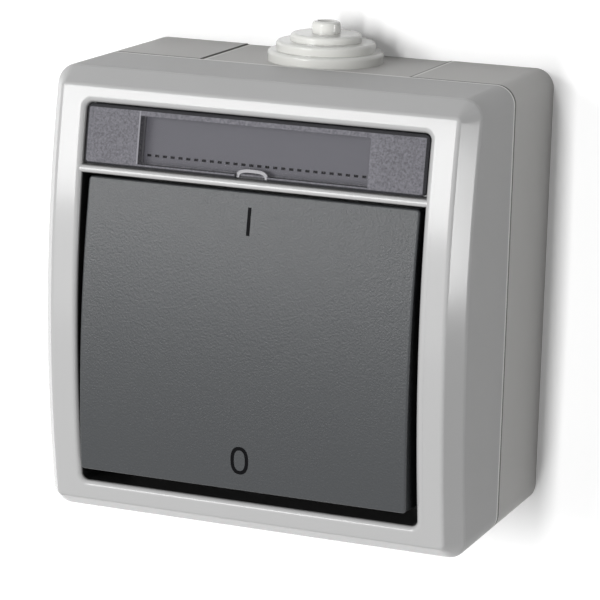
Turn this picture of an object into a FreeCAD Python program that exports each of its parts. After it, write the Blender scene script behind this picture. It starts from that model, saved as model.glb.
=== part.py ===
import FreeCAD, Part
import math
import os

# A splash-proof rocker switch for an outside wall, in millimetres.
# +X is to the right, -Y points out of the wall and +Z is up. The wall plane is Y = 0,
# and the origin is the middle of the box's back. "Depth" below is the distance from the wall.

# Outline of box and cover
WIDTH = 80.0
HEIGHT = 81.5
CORNER_RADIUS = 3.5
WALL = 2.3
BACK_WALL = 2.5
PARTING_BEHIND_FRAME = 1.5
PARTING_ROUND = 0.2

# Arched front of the cover, with its bevelled band
COVER_DEPTH = 21.0
ARCH_RISE = 4.2
BAND_ON_SIDE = 4.0
BAND_ON_FACE = 2.8
BAND_OUTER_ROUND = 2.0
BAND_INNER_ROUND = 0.9
FACE_THICKNESS = 2.4
INNER_BAND = 1.6
HOLLOW_CORNER = 2.5

# Joint between box and cover
TONGUE_CLEARANCE = 0.15
TONGUE_WIDTH = 1.55
TONGUE_HEIGHT = 2.0
LEDGE_HEIGHT = 2.3
SEAL_THICKNESS = 1.0
SHOULDER_HEIGHT = 2.0

# Openings in the cover's face
SIDE_BORDER = 7.7
TOP_BORDER = 5.85
BOTTOM_BORDER = 6.35
OPENING_CORNER = 1.2
LABEL_HEIGHT = 11.0
CROSSBAR_HEIGHT = 1.35
CROSSBAR_SETBACK = 0.2
CROSSBAR_ROUND = 0.6
CROSSBAR_ROOT = 2.5
CROSSBAR_REACH = 0.5
LIP_ROUND = 1.0
WELL_WALL = 1.6
WELL_FLOOR_RISE = 9.5
WELL_FLOOR_THICKNESS = 1.8

# Label window
RECESS_DEPTH = 3.2
TRAY_FLOOR = 1.4
LENS_SETBACK = 0.45
LENS_THICKNESS = 2.3
LENS_CLEARANCE = 0.25
LENS_BEVEL = 0.45
LENS_CORNER = 1.0
NOTCH_WIDTH = 6.0
NOTCH_HEIGHT = 1.9
NOTCH_DEPTH = 0.9
CARD_THICKNESS = 0.3
CARD_CLEARANCE = 0.4

# Rocker
ROCKER_TILT = 4.0
ROCKER_SIDE_GAP = 1.1
ROCKER_END_GAP = 1.8
ROCKER_PROUD = 0.5
ROCKER_WALL = 2.0
ROCKER_TOP_WALL = 2.3
ROCKER_CORNER = 0.7
ROCKER_EDGE_ROUND = 0.4
ROCKER_SKIRT_RISE = 2.5
PIVOT_RISE = 5.0

# Cradle under the rocker, with its trunnion pins
CRADLE_HALF_HEIGHT = 9.5
CRADLE_CORNER = 1.5
CRADLE_BEHIND_PIVOT = 2.5
CRADLE_BELOW_CREST = 6.7
PIN_RADIUS = 1.5
PIN_CLEARANCE = 0.05
NOSE_RADIUS = 3.4
NOSE_LENGTH = 4.2
SOCKET_WALL = 1.8
SOCKET_CLEARANCE = 0.1
SOCKET_DEPTH = 4.8
RIB_WIDTH = 1.4
RIB_PLACE = 7.0

# Seal round the rocker's neck
NECK_SEAL_CLEARANCE = 0.3
NECK_SEAL_WIDTH = 4.0
NECK_SEAL_THICKNESS = 1.0
NECK_SEAL_BEAD = 0.5
NECK_SEAL_BEAD_WIDTH = 1.2
APERTURE_CLEARANCE = 1.3

# Two poles side by side, with plunger, spring, bridge and contacts each
POLE_PITCH = 16.0
PLUNGER_RADIUS = 2.2
PLUNGER_CLEARANCE = 0.07
PLUNGER_TIP_RADIUS = 1.4
PLUNGER_GAP = 0.12
PLUNGER_HEAD_REACH = 1.5
SPRING_LENGTH = 6.0
SPRING_WIRE_RADIUS = 0.3
SPRING_COIL_RADIUS = 1.5
SPRING_TURNS = 3.5
SPRING_SEAT_GAP = 0.05
BRIDGE_TILT_RATIO = 2.0
BRIDGE_RISE = 10.0
BRIDGE_THICKNESS = 0.8
BRIDGE_END_GAP = 1.5
BRIDGE_WIDTH = 4.0
KNIFE_GAP = 0.1
KNIFE_TIP_WIDTH = 0.3
CONTACT_INSET = 1.5
CONTACT_RADIUS = 1.6
CONTACT_HEIGHT = 0.8
CONTACT_GAP = 0.1
STRIP_WIDTH = 4.0
STRIP_THICKNESS = 1.0
STRIP_CLEARANCE = 0.1

# Moulded mechanism body
BODY_HALF_WIDTH = 19.4
BODY_HALF_HEIGHT = 21.5
BODY_DEPTH = 17.0
BODY_FLOOR = 2.0
BODY_CORNER = 1.5
FLANGE_THICKNESS = 1.5
FLANGE_REACH = 2.0
POCKET_WIDTH = 8.0
POCKET_END_WALL = 1.2
CHAMBER_LENGTH = 6.6
CHAMBER_END_WALL = 2.2
TOWER_THICKNESS = 3.4
TOWER_CLEARANCE = 0.7
TOWER_SIDE_GAP = 0.3
TOWER_HALF_WIDTH = 4.0
TOWER_TOP_CLEARANCE = 0.3
TOWER_ROUND = 1.2
WIRE_HOLE_RADIUS = 1.7
WIRE_HOLE_RISE = 6.0
RELIEF_WALL = 1.6

# Terminal clamps and their screws
CLAMP_WIDTH = 6.6
CLAMP_LENGTH = 5.6
CLAMP_DEPTH = 8.5
CLAMP_WALL = 0.9
CLAMP_STRIP_GAP = 0.3
TERMINAL_SCREW_RADIUS = 1.5
TERMINAL_HEAD_RADIUS = 2.5
TERMINAL_HEAD_HEIGHT = 1.8

# Steel frame that carries the mechanism
FRAME_DEPTH = 24.0
FRAME_THICKNESS = 1.2
FRAME_MARGIN = 3.5
FRAME_CORNER = 2.5
FRAME_WINDOW_OVERLAP = 0.6
FRAME_LIP_HEIGHT = 2.3

# Screws and the posts that take them
FRAME_SCREW_Z = 13.5
POST_RADIUS = 3.0
POST_CLEARANCE = 0.1
FRAME_POST_CLEARANCE = 1.5
SCREW_RADIUS = 1.4
THREAD_CLEARANCE = 0.05
HOLE_CLEARANCE = 0.4
SCREW_HEAD_RADIUS = 2.6
SCREW_HEAD_HEIGHT = 1.7
SCREW_SLOT_WIDTH = 0.7
SCREW_SLOT_DEPTH = 0.8
SCREW_GRIP = 9.0
SCREW_END_GAP = 1.0

# Wall screw holes
WALL_HOLE_INSET_X = 12.0
WALL_HOLE_INSET_Z = 10.75
WALL_HOLE_RADIUS = 2.2
WALL_PILLAR_RADIUS = 4.4
WALL_PILLAR_HEIGHT = 3.0

# Cable entry plate and grommet
ENTRY_HALF_WIDTH = 20.2
ENTRY_CLEARANCE = 0.15
ENTRY_DROP = 0.15
ENTRY_TONGUE = 1.8
ENTRY_TONGUE_HEIGHT = 1.2
ENTRY_TONGUE_START = 3.0
ENTRY_TONGUE_END_GAP = 3.5
RAIL_WIDTH = 3.6
RAIL_FLOOR = 1.7
GROMMET_FRONT_GAP = 0.3
GROMMET_NECK_RADIUS = 7.2
GROMMET_FLANGE_RADIUS = 8.4
GROMMET_FLANGE_THICKNESS = 1.5
GROMMET_NECK_CLEARANCE = 0.05
GROMMET_STEPS = ((10.6, 2.0), (9.1, 1.7), (6.5, 1.4), (2.6, 2.2))
GROMMET_ROUND = 0.6
GROMMET_SKIN = 1.3
GROMMET_DIMPLE_RADIUS = 1.7
GROMMET_DIMPLE_DEPTH = 0.5

# Worked out from the sizes above
HALF_WIDTH = WIDTH / 2
HALF_HEIGHT = HEIGHT / 2
BODY_REAR = FRAME_DEPTH - BODY_DEPTH
PARTING_DEPTH = FRAME_DEPTH - PARTING_BEHIND_FRAME
FACE_END_DEPTH = PARTING_DEPTH + COVER_DEPTH
CREST_DEPTH = FACE_END_DEPTH + ARCH_RISE
ARCH_RADIUS = HALF_HEIGHT ** 2 / (2 * ARCH_RISE) + ARCH_RISE / 2
TONGUE_INSET = WALL + TONGUE_CLEARANCE
RIM_INSET = TONGUE_INSET + TONGUE_WIDTH
SEAL_REAR = PARTING_DEPTH + TONGUE_HEIGHT
SEAL_FRONT = SEAL_REAR + SEAL_THICKNESS
OPENING_HALF_WIDTH = HALF_WIDTH - SIDE_BORDER
LABEL_TOP = HALF_HEIGHT - TOP_BORDER
LABEL_BOTTOM = LABEL_TOP - LABEL_HEIGHT
ROCKER_OPENING_TOP = LABEL_BOTTOM - CROSSBAR_HEIGHT
ROCKER_OPENING_BOTTOM = BOTTOM_BORDER - HALF_HEIGHT
PIVOT_HEIGHT = (ROCKER_OPENING_TOP + ROCKER_OPENING_BOTTOM) / 2
ROCKER_HALF_WIDTH = OPENING_HALF_WIDTH - ROCKER_SIDE_GAP
ROCKER_HALF_HEIGHT = (ROCKER_OPENING_TOP - ROCKER_OPENING_BOTTOM) / 2 - ROCKER_END_GAP
WELL_FLOOR_FRONT = FRAME_DEPTH + WELL_FLOOR_RISE
WELL_FLOOR_REAR = WELL_FLOOR_FRONT - WELL_FLOOR_THICKNESS
ROCKER_SKIRT_DEPTH = WELL_FLOOR_FRONT + ROCKER_SKIRT_RISE
PIVOT_DEPTH = FRAME_DEPTH + PIVOT_RISE
CRADLE_REAR = PIVOT_DEPTH - CRADLE_BEHIND_PIVOT
CRADLE_FRONT = CREST_DEPTH - CRADLE_BELOW_CREST
PLUNGER_HEAD_DEPTH = PIVOT_DEPTH + PLUNGER_HEAD_REACH
FRAME_FRONT = FRAME_DEPTH + FRAME_THICKNESS
POCKET_FLOOR = BODY_REAR + BODY_FLOOR
CHAMBER_OUTER = BODY_HALF_HEIGHT - CHAMBER_END_WALL
CHAMBER_INNER = CHAMBER_OUTER - CHAMBER_LENGTH
POCKET_HALF_HEIGHT = CHAMBER_INNER - POCKET_END_WALL
RELIEF_HALF_WIDTH = (POLE_PITCH - POCKET_WIDTH) / 2 - RELIEF_WALL
BRIDGE_DEPTH = BODY_REAR + BRIDGE_RISE
BRIDGE_TILT = ROCKER_TILT * BRIDGE_TILT_RATIO
BRIDGE_HALF_LENGTH = POCKET_HALF_HEIGHT - BRIDGE_END_GAP
CONTACT_PLACE = BRIDGE_HALF_LENGTH - CONTACT_INSET
FRAME_SCREW_X = BODY_HALF_WIDTH + POST_RADIUS + FRAME_POST_CLEARANCE
FRAME_HALF_WIDTH = FRAME_SCREW_X + FRAME_MARGIN
FRAME_HALF_HEIGHT = BODY_HALF_HEIGHT + FLANGE_REACH
FRAME_LIP_HALF_LENGTH = FRAME_SCREW_Z - SCREW_HEAD_RADIUS - FRAME_THICKNESS
COVER_SCREW_X = BODY_HALF_WIDTH + POST_RADIUS + POST_CLEARANCE
WALL_HOLE_X = HALF_WIDTH - WALL_HOLE_INSET_X
WALL_HOLE_Z = HALF_HEIGHT - WALL_HOLE_INSET_Z
ENTRY_TONGUE_END = PARTING_DEPTH - ENTRY_TONGUE_END_GAP
GROMMET_DEPTH = PARTING_DEPTH - GROMMET_FRONT_GAP - GROMMET_STEPS[0][0]
BORE_END_DEPTH = PLUNGER_HEAD_DEPTH + SPRING_LENGTH
TOWER_OUTER = BODY_HALF_WIDTH - FRAME_WINDOW_OVERLAP - TOWER_SIDE_GAP
TOWER_INNER = TOWER_OUTER - TOWER_THICKNESS
CRADLE_HALF_WIDTH = TOWER_INNER - TOWER_CLEARANCE
TOWER_TOP = WELL_FLOOR_REAR - TOWER_TOP_CLEARANCE
PLATE_TOP = HALF_HEIGHT - ENTRY_DROP
TOP_WALL_INNER = HALF_HEIGHT - WALL
BEYOND = FACE_END_DEPTH + 4 * ARCH_RISE

# Distances under which points or radii count as the same
SAME_POINT = 1e-6
SAME_RADIUS = 1e-4
ON_SURFACE = 1e-2


def vector(x, depth, z):
    return FreeCAD.Vector(x, -depth, z)


def rounded_wire(corners, place):
    """Close a line through corners (a, b, radius), each rounded with its own arc."""
    edges = []
    stops = []
    count = len(corners)
    for index, (a, b, radius) in enumerate(corners):
        before = corners[index - 1]
        after = corners[(index + 1) % count]
        if radius == 0:
            stops.append(((a, b), None, (a, b)))
            continue
        way_in = unit(before[0] - a, before[1] - b)
        way_out = unit(after[0] - a, after[1] - b)
        half_angle = math.acos(way_in[0] * way_out[0] + way_in[1] * way_out[1]) / 2
        reach = radius / math.tan(half_angle)
        middle = unit(way_in[0] + way_out[0], way_in[1] + way_out[1])
        to_arc = radius / math.sin(half_angle) - radius
        start = (a + way_in[0] * reach, b + way_in[1] * reach)
        summit = (a + middle[0] * to_arc, b + middle[1] * to_arc)
        end = (a + way_out[0] * reach, b + way_out[1] * reach)
        stops.append((start, summit, end))
    for index, (start, summit, end) in enumerate(stops):
        if summit:
            edges.append(Part.Arc(place(*start), place(*summit), place(*end)).toShape())
        following = stops[(index + 1) % count][0]
        if math.dist(end, following) > SAME_POINT:
            edges.append(Part.makeLine(place(*end), place(*following)))
    return Part.Wire(edges)


def unit(a, b):
    length = math.hypot(a, b)
    return a / length, b / length


def front_prism(corners, rear, front):
    """Extrude an outline drawn in x and z from one depth to another."""
    wire = rounded_wire(corners, lambda x, z: vector(x, rear, z))
    return Part.Face(wire).extrude(vector(0, front - rear, 0))


def side_prism(corners, left, right):
    """Extrude an outline drawn in z and depth from one x to another."""
    wire = rounded_wire(corners, lambda z, depth: vector(left, depth, z))
    return Part.Face(wire).extrude(vector(right - left, 0, 0))


def rectangle(half_width, bottom, top, radius):
    return [
        (-half_width, bottom, radius),
        (half_width, bottom, radius),
        (half_width, top, radius),
        (-half_width, top, radius),
    ]


def plate(half_width, bottom, top, radius, rear, front):
    return front_prism(rectangle(half_width, bottom, top, radius), rear, front)


def block(left, right, rear, front, bottom, top):
    return Part.makeBox(right - left, front - rear, top - bottom, vector(left, front, bottom))


def rod(x, z, radius, rear, front):
    return Part.makeCylinder(radius, front - rear, vector(x, rear, z), vector(0, 1, 0))


def cross_rod(left, right, depth, z, radius):
    return Part.makeCylinder(radius, right - left, vector(left, depth, z), vector(1, 0, 0))


def outline_plate(inset, rear, front):
    """A slab with the switch's outline, drawn in by an inset all round."""
    half_height = HALF_HEIGHT - inset
    radius = CORNER_RADIUS if inset == 0 else HOLLOW_CORNER
    return plate(HALF_WIDTH - inset, -half_height, half_height, radius, rear, front)


def outline_ring(outer_inset, inner_inset, rear, front):
    return outline_plate(outer_inset, rear, front).cut(outline_plate(inner_inset, rear, front))


def arch_body(below):
    """Everything behind the arched front, drawn back by a distance below its surface."""
    return cross_rod(-WIDTH, WIDTH, CREST_DEPTH - ARCH_RADIUS, 0, ARCH_RADIUS - below)


def curved_plate(half_width, bottom, top, radius, front_below, rear_below):
    """A plate bent like the arched front, between two distances below its surface."""
    prism = plate(half_width, bottom, top, radius, PARTING_DEPTH, BEYOND)
    return prism.common(arch_body(front_below)).cut(arch_body(rear_below))


def fuse_all(shapes):
    return shapes[0].fuse(shapes[1:]).removeSplitter()


def mirrored(shape):
    return shape.mirror(vector(0, 0, 0), vector(1, 0, 0))


def both_sides(shape):
    return [shape, mirrored(shape)]


def arched_face(shape, radius):
    """The largest cylindrical face of the arch's radius."""
    faces = []
    for face in shape.Faces:
        surface = face.Surface
        if isinstance(surface, Part.Cylinder) and abs(surface.Radius - radius) < SAME_RADIUS:
            faces.append(face)
    return max(faces, key=lambda face: face.Area)


def inner_wires(face):
    outer = face.OuterWire
    return [wire for wire in face.Wires if not wire.isSame(outer)]


def screw(x, z, seat, length, radius, head_radius, head_height):
    """A cheese-head screw with a slot, seated at a depth and reaching towards the wall."""
    shank = rod(x, z, radius, seat - length, seat)
    head = rod(x, z, head_radius, seat, seat + head_height)
    slot = block(
        x - head_radius,
        x + head_radius,
        seat + head_height - SCREW_SLOT_DEPTH,
        seat + head_height,
        z - SCREW_SLOT_WIDTH / 2,
        z + SCREW_SLOT_WIDTH / 2,
    )
    return shank.fuse(head).removeSplitter().cut(slot)


def frame_screw_places():
    return [
        (x, PIVOT_HEIGHT + z)
        for x in (-FRAME_SCREW_X, FRAME_SCREW_X)
        for z in (-FRAME_SCREW_Z, FRAME_SCREW_Z)
    ]


def cover_screw_places():
    return [(-COVER_SCREW_X, PIVOT_HEIGHT), (COVER_SCREW_X, PIVOT_HEIGHT)]


def wall_screw_places():
    return [(x, z) for x in (-WALL_HOLE_X, WALL_HOLE_X) for z in (-WALL_HOLE_Z, WALL_HOLE_Z)]


def pole_centres():
    return (-POLE_PITCH / 2, POLE_PITCH / 2)


def eased_outline(rear, front, eased_depth):
    """The full outline as a slab, with one of its two outer loops slightly rounded."""
    slab = outline_plate(0, rear, front)
    loop = []
    for edge in slab.Edges:
        box = edge.BoundBox
        if abs(box.YMin + eased_depth) < SAME_POINT and abs(box.YMax + eased_depth) < SAME_POINT:
            loop.append(edge)
    return slab.makeFillet(PARTING_ROUND, loop).Solids[0]


def box_shell():
    """The open box with its ledge and tongue, before the cable entry is cut out of it."""
    tub = eased_outline(0, PARTING_DEPTH, PARTING_DEPTH)
    tub = tub.cut(outline_plate(WALL, BACK_WALL, PARTING_DEPTH))
    ledge = outline_ring(WALL / 2, RIM_INSET, PARTING_DEPTH - LEDGE_HEIGHT, PARTING_DEPTH)
    tongue = outline_ring(TONGUE_INSET, RIM_INSET, PARTING_DEPTH - LEDGE_HEIGHT, SEAL_REAR)
    return fuse_all([tub, ledge, tongue])


def entry_zone(half_width, bottom):
    return block(-half_width, half_width, 0, SEAL_REAR, bottom, HEIGHT)


def entry_tongue(clearance):
    """The sliding tongue on the plate's right edge, or its groove when given a clearance."""
    top = TOP_WALL_INNER
    return block(
        ENTRY_HALF_WIDTH - 2 * ENTRY_CLEARANCE,
        ENTRY_HALF_WIDTH + ENTRY_TONGUE + clearance,
        ENTRY_TONGUE_START - clearance,
        ENTRY_TONGUE_END + clearance,
        top - ENTRY_TONGUE_HEIGHT - clearance,
        top,
    )


def entry_rail():
    """The guide under the box's top wall that holds the plate's right tongue."""
    bottom = TOP_WALL_INNER - ENTRY_TONGUE_HEIGHT - ENTRY_CLEARANCE - RAIL_FLOOR
    left = ENTRY_HALF_WIDTH
    rail = block(left, left + RAIL_WIDTH, BACK_WALL, ENTRY_TONGUE_END, bottom, TOP_WALL_INNER)
    return rail.cut(entry_tongue(ENTRY_CLEARANCE))


def back_box():
    pillar_front = BACK_WALL + WALL_PILLAR_HEIGHT
    pieces = [box_shell().cut(entry_zone(ENTRY_HALF_WIDTH, TOP_WALL_INNER - LEDGE_HEIGHT))]
    for x, z in wall_screw_places():
        pieces.append(rod(x, z, WALL_PILLAR_RADIUS, BACK_WALL, pillar_front))
    for x, z in frame_screw_places() + cover_screw_places():
        pieces.append(rod(x, z, POST_RADIUS, BACK_WALL, FRAME_DEPTH))
    pieces += both_sides(entry_rail())
    box = fuse_all(pieces)
    holes = []
    for x, z in wall_screw_places():
        holes.append(rod(x, z, WALL_HOLE_RADIUS, 0, pillar_front))
    for x, z in frame_screw_places() + cover_screw_places():
        holes.append(rod(x, z, SCREW_RADIUS + THREAD_CLEARANCE, FRAME_DEPTH - SCREW_GRIP, FRAME_DEPTH))
    return box.cut(holes)


def cable_entry_plate():
    half_width = ENTRY_HALF_WIDTH - ENTRY_CLEARANCE
    bottom = TOP_WALL_INNER - LEDGE_HEIGHT + ENTRY_CLEARANCE
    body = box_shell().common(entry_zone(half_width, bottom))
    skim = block(-WIDTH, WIDTH, 0, PARTING_DEPTH, PLATE_TOP, HEIGHT)
    body = fuse_all([body.cut(skim)] + both_sides(entry_tongue(0)))
    radius = GROMMET_NECK_RADIUS + GROMMET_NECK_CLEARANCE
    hole = Part.makeCylinder(radius, HEIGHT, vector(0, GROMMET_DEPTH, 0))
    return body.cut(hole)


def grommet_outer_profile():
    """Corners of the stepped membrane from its flange up to the nipple, as radius and height."""
    flange_bottom = TOP_WALL_INNER - GROMMET_FLANGE_THICKNESS
    profile = [
        (GROMMET_FLANGE_RADIUS, flange_bottom, 0),
        (GROMMET_FLANGE_RADIUS, TOP_WALL_INNER, 0),
        (GROMMET_NECK_RADIUS, TOP_WALL_INNER, 0),
        (GROMMET_NECK_RADIUS, PLATE_TOP, 0),
    ]
    level = PLATE_TOP
    for radius, step in GROMMET_STEPS:
        profile.append((radius, level, 0))
        level += step
        profile.append((radius, level, GROMMET_ROUND))
    profile.append((GROMMET_DIMPLE_RADIUS, level, 0))
    profile.append((GROMMET_DIMPLE_RADIUS - GROMMET_DIMPLE_DEPTH, level - GROMMET_DIMPLE_DEPTH, 0))
    profile.append((0, level - GROMMET_DIMPLE_DEPTH, 0))
    return profile


def grommet_inner_profile():
    """Corners of the hollow under the steps, from the nipple down to the neck's mouth."""
    neck_bore = GROMMET_NECK_RADIUS - GROMMET_SKIN
    roof = PLATE_TOP + sum(step for radius, step in GROMMET_STEPS) - GROMMET_SKIN
    corners = [(0, roof, 0)]
    for radius, step in reversed(GROMMET_STEPS[1:]):
        bore = min(radius - GROMMET_SKIN, neck_bore)
        corners.append((bore, roof, 0))
        roof -= step
        corners.append((bore, roof, 0))
    corners[-1] = (neck_bore, corners[-1][1], 0)
    corners.append((neck_bore, TOP_WALL_INNER - GROMMET_FLANGE_THICKNESS, 0))
    return corners


def cable_grommet():
    def place(radius, height):
        return vector(radius, GROMMET_DEPTH, height)

    corners = grommet_outer_profile() + grommet_inner_profile()
    cleaned = []
    for corner in corners:
        if not cleaned or math.dist(corner[:2], cleaned[-1][:2]) > SAME_POINT:
            cleaned.append(corner)
    face = Part.Face(rounded_wire(cleaned, place))
    return face.revolve(vector(0, GROMMET_DEPTH, 0), FreeCAD.Vector(0, 0, 1), 360)


def rim_seal():
    slack = TONGUE_CLEARANCE
    return outline_ring(TONGUE_INSET + slack, RIM_INSET - slack, SEAL_REAR, SEAL_FRONT)


def cover_form():
    """The cover's outer form: the outline, cut by the arch, with its bevelled band."""
    form = eased_outline(PARTING_DEPTH, BEYOND, PARTING_DEPTH).common(arch_body(0))
    rim = arched_face(form, ARCH_RADIUS).OuterWire.Edges
    return form.makeChamfer(BAND_ON_FACE, BAND_ON_SIDE, rim).Solids[0]


def cover_hollow():
    hollow = outline_plate(WALL, PARTING_DEPTH, BEYOND).common(arch_body(FACE_THICKNESS))
    rim = arched_face(hollow, ARCH_RADIUS - FACE_THICKNESS).OuterWire.Edges
    return hollow.makeChamfer(INNER_BAND, rim).Solids[0]


def rocker_opening(rear, front):
    """The rocker's opening, with square corners under the crossbar."""
    half_width = OPENING_HALF_WIDTH
    corners = [
        (-half_width, ROCKER_OPENING_BOTTOM, OPENING_CORNER),
        (half_width, ROCKER_OPENING_BOTTOM, OPENING_CORNER),
        (half_width, ROCKER_OPENING_TOP, 0),
        (-half_width, ROCKER_OPENING_TOP, 0),
    ]
    return front_prism(corners, rear, front)


def label_recess(rear_below):
    """The label's recess, with square corners above the crossbar and a curved floor."""
    half_width = OPENING_HALF_WIDTH
    corners = [
        (-half_width, LABEL_BOTTOM, 0),
        (half_width, LABEL_BOTTOM, 0),
        (half_width, LABEL_TOP, OPENING_CORNER),
        (-half_width, LABEL_TOP, OPENING_CORNER),
    ]
    return front_prism(corners, PARTING_DEPTH, BEYOND).cut(arch_body(rear_below))


def front_cover():
    outer = cover_form()
    outside = OPENING_HALF_WIDTH + WELL_WALL
    shell = outer.cut(cover_hollow())
    shoulder = outline_ring(WALL / 2, RIM_INSET, SEAL_FRONT, SEAL_FRONT + SHOULDER_HEIGHT)
    well = plate(
        outside,
        ROCKER_OPENING_BOTTOM - WELL_WALL,
        LABEL_BOTTOM,
        OPENING_CORNER,
        WELL_FLOOR_REAR,
        BEYOND,
    ).common(arch_body(FACE_THICKNESS / 2))
    tray_below = RECESS_DEPTH + TRAY_FLOOR
    tray = curved_plate(
        outside,
        ROCKER_OPENING_TOP,
        LABEL_TOP + WELL_WALL,
        OPENING_CORNER,
        FACE_THICKNESS / 2,
        tray_below,
    )
    bosses = []
    for x, z in cover_screw_places():
        bosses.append(rod(x, z, POST_RADIUS, FRAME_FRONT, WELL_FLOOR_FRONT))
    body = fuse_all([shell, shoulder, well, tray] + bosses)
    bar_zone = block(
        -OPENING_HALF_WIDTH,
        OPENING_HALF_WIDTH,
        PARTING_DEPTH,
        BEYOND,
        ROCKER_OPENING_TOP,
        LABEL_BOTTOM,
    ).cut(arch_body(CROSSBAR_ROOT))
    aperture = plate(
        CRADLE_HALF_WIDTH + APERTURE_CLEARANCE,
        PIVOT_HEIGHT - CRADLE_HALF_HEIGHT - APERTURE_CLEARANCE,
        PIVOT_HEIGHT + CRADLE_HALF_HEIGHT + APERTURE_CLEARANCE,
        CRADLE_CORNER,
        WELL_FLOOR_REAR,
        WELL_FLOOR_FRONT,
    )
    cutters = [rocker_opening(WELL_FLOOR_FRONT, BEYOND), label_recess(RECESS_DEPTH), bar_zone, aperture]
    for x, z in cover_screw_places():
        cutters.append(rod(x, z, SCREW_RADIUS + HOLE_CLEARANCE, FRAME_FRONT, WELL_FLOOR_FRONT))
    body = body.cut(cutters)
    return round_cover_edges(body)


def crossbar():
    """The rounded bead between label and rocker, whose ends run into the opening's lip."""
    bar = curved_plate(
        OPENING_HALF_WIDTH + CROSSBAR_REACH,
        ROCKER_OPENING_TOP,
        LABEL_BOTTOM,
        0,
        CROSSBAR_SETBACK,
        CROSSBAR_ROOT,
    )
    front = arched_face(bar, ARCH_RADIUS - CROSSBAR_SETBACK)
    long_edges = [edge for edge in front.Edges if edge.Length > OPENING_HALF_WIDTH]
    return bar.makeFillet(CROSSBAR_ROUND, long_edges)


def round_cover_edges(body):
    """Round the lip of the opening, add the crossbar and round both edges of the band."""
    lips = []
    for wire in inner_wires(arched_face(body, ARCH_RADIUS)):
        lips += wire.Edges
    body = body.makeFillet(LIP_ROUND, lips)
    body = fuse_all([body, crossbar()])
    inner = arched_face(body, ARCH_RADIUS).OuterWire.Edges
    body = body.makeFillet(BAND_INNER_ROUND, inner)
    return body.makeFillet(BAND_OUTER_ROUND, band_outer_edges(body))


def band_outer_edges(body):
    """The loop of edges where the band meets the sides."""
    rear_limit = FACE_END_DEPTH - BAND_ON_SIDE - ARCH_RISE / 2
    loop = []
    for edge in body.Edges:
        middle = edge.valueAt((edge.FirstParameter + edge.LastParameter) / 2)
        on_side = abs(middle.x) > HALF_WIDTH - ON_SURFACE or abs(middle.z) > HALF_HEIGHT - ON_SURFACE
        along = edge.Vertexes[0].Point - edge.Vertexes[-1].Point
        across_depth = math.hypot(along.x, along.z) > abs(along.y)
        if (on_side or in_outline_corner(middle)) and -middle.y > rear_limit and across_depth:
            loop.append(edge)
    return loop


def in_outline_corner(point):
    """Whether a point lies on one of the outline's four rounded corners."""
    centre_x = HALF_WIDTH - CORNER_RADIUS
    centre_z = HALF_HEIGHT - CORNER_RADIUS
    beyond_x = abs(point.x) - centre_x
    beyond_z = abs(point.z) - centre_z
    if beyond_x <= 0 or beyond_z <= 0:
        return False
    return abs(math.hypot(beyond_x, beyond_z) - CORNER_RADIUS) < ON_SURFACE


def label_lens():
    gap = LENS_CLEARANCE
    lens = curved_plate(
        OPENING_HALF_WIDTH - gap,
        LABEL_BOTTOM + gap,
        LABEL_TOP - gap,
        LENS_CORNER,
        LENS_SETBACK,
        LENS_SETBACK + LENS_THICKNESS,
    )
    rim = arched_face(lens, ARCH_RADIUS - LENS_SETBACK).OuterWire.Edges
    lens = lens.makeChamfer(LENS_BEVEL, rim)
    bottom = LABEL_BOTTOM + gap
    notch = plate(
        NOTCH_WIDTH / 2,
        bottom - NOTCH_HEIGHT,
        bottom + NOTCH_HEIGHT,
        NOTCH_HEIGHT / 2,
        PARTING_DEPTH,
        BEYOND,
    )
    return lens.cut(notch.cut(arch_body(LENS_SETBACK + NOTCH_DEPTH)))


def label_card():
    gap = CARD_CLEARANCE
    return curved_plate(
        OPENING_HALF_WIDTH - gap,
        LABEL_BOTTOM + gap,
        LABEL_TOP - gap,
        LENS_CORNER,
        RECESS_DEPTH - CARD_THICKNESS,
        RECESS_DEPTH,
    )


def rocker():
    """The rocker's cap in its middle position: arched front, skirt, socket and ribs."""
    bottom = PIVOT_HEIGHT - ROCKER_HALF_HEIGHT
    top = PIVOT_HEIGHT + ROCKER_HALF_HEIGHT
    cap = plate(ROCKER_HALF_WIDTH, bottom, top, ROCKER_CORNER, ROCKER_SKIRT_DEPTH, BEYOND)
    cap = cap.common(arch_body(-ROCKER_PROUD))
    rim = arched_face(cap, ARCH_RADIUS + ROCKER_PROUD).OuterWire.Edges
    form = cap.makeFillet(ROCKER_EDGE_ROUND, rim)
    hollow = plate(
        ROCKER_HALF_WIDTH - ROCKER_WALL,
        bottom + ROCKER_WALL,
        top - ROCKER_WALL,
        ROCKER_CORNER,
        ROCKER_SKIRT_DEPTH,
        BEYOND,
    ).common(arch_body(ROCKER_TOP_WALL - ROCKER_PROUD))
    within = arch_body(ROCKER_TOP_WALL / 2 - ROCKER_PROUD)
    socket = neck_plate(SOCKET_CLEARANCE + SOCKET_WALL, CRADLE_FRONT - SOCKET_DEPTH, BEYOND)
    socket = socket.cut(neck_plate(SOCKET_CLEARANCE, CRADLE_FRONT - SOCKET_DEPTH, BEYOND))
    inner_half = CRADLE_HALF_HEIGHT + SOCKET_CLEARANCE
    ribs = []
    for x in (-RIB_PLACE, RIB_PLACE):
        ribs.append(
            block(
                x - RIB_WIDTH / 2,
                x + RIB_WIDTH / 2,
                CRADLE_FRONT,
                BEYOND,
                PIVOT_HEIGHT - inner_half,
                PIVOT_HEIGHT + inner_half,
            )
        )
    supports = fuse_all([socket] + ribs).common(within)
    return tilted(fuse_all([form.cut(hollow), supports]))


def neck_plate(grow, rear, front):
    """A slab with the outline of the cradle's neck, grown by a distance."""
    return plate(
        CRADLE_HALF_WIDTH + grow,
        PIVOT_HEIGHT - CRADLE_HALF_HEIGHT - grow,
        PIVOT_HEIGHT + CRADLE_HALF_HEIGHT + grow,
        CRADLE_CORNER,
        rear,
        front,
    )


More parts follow.
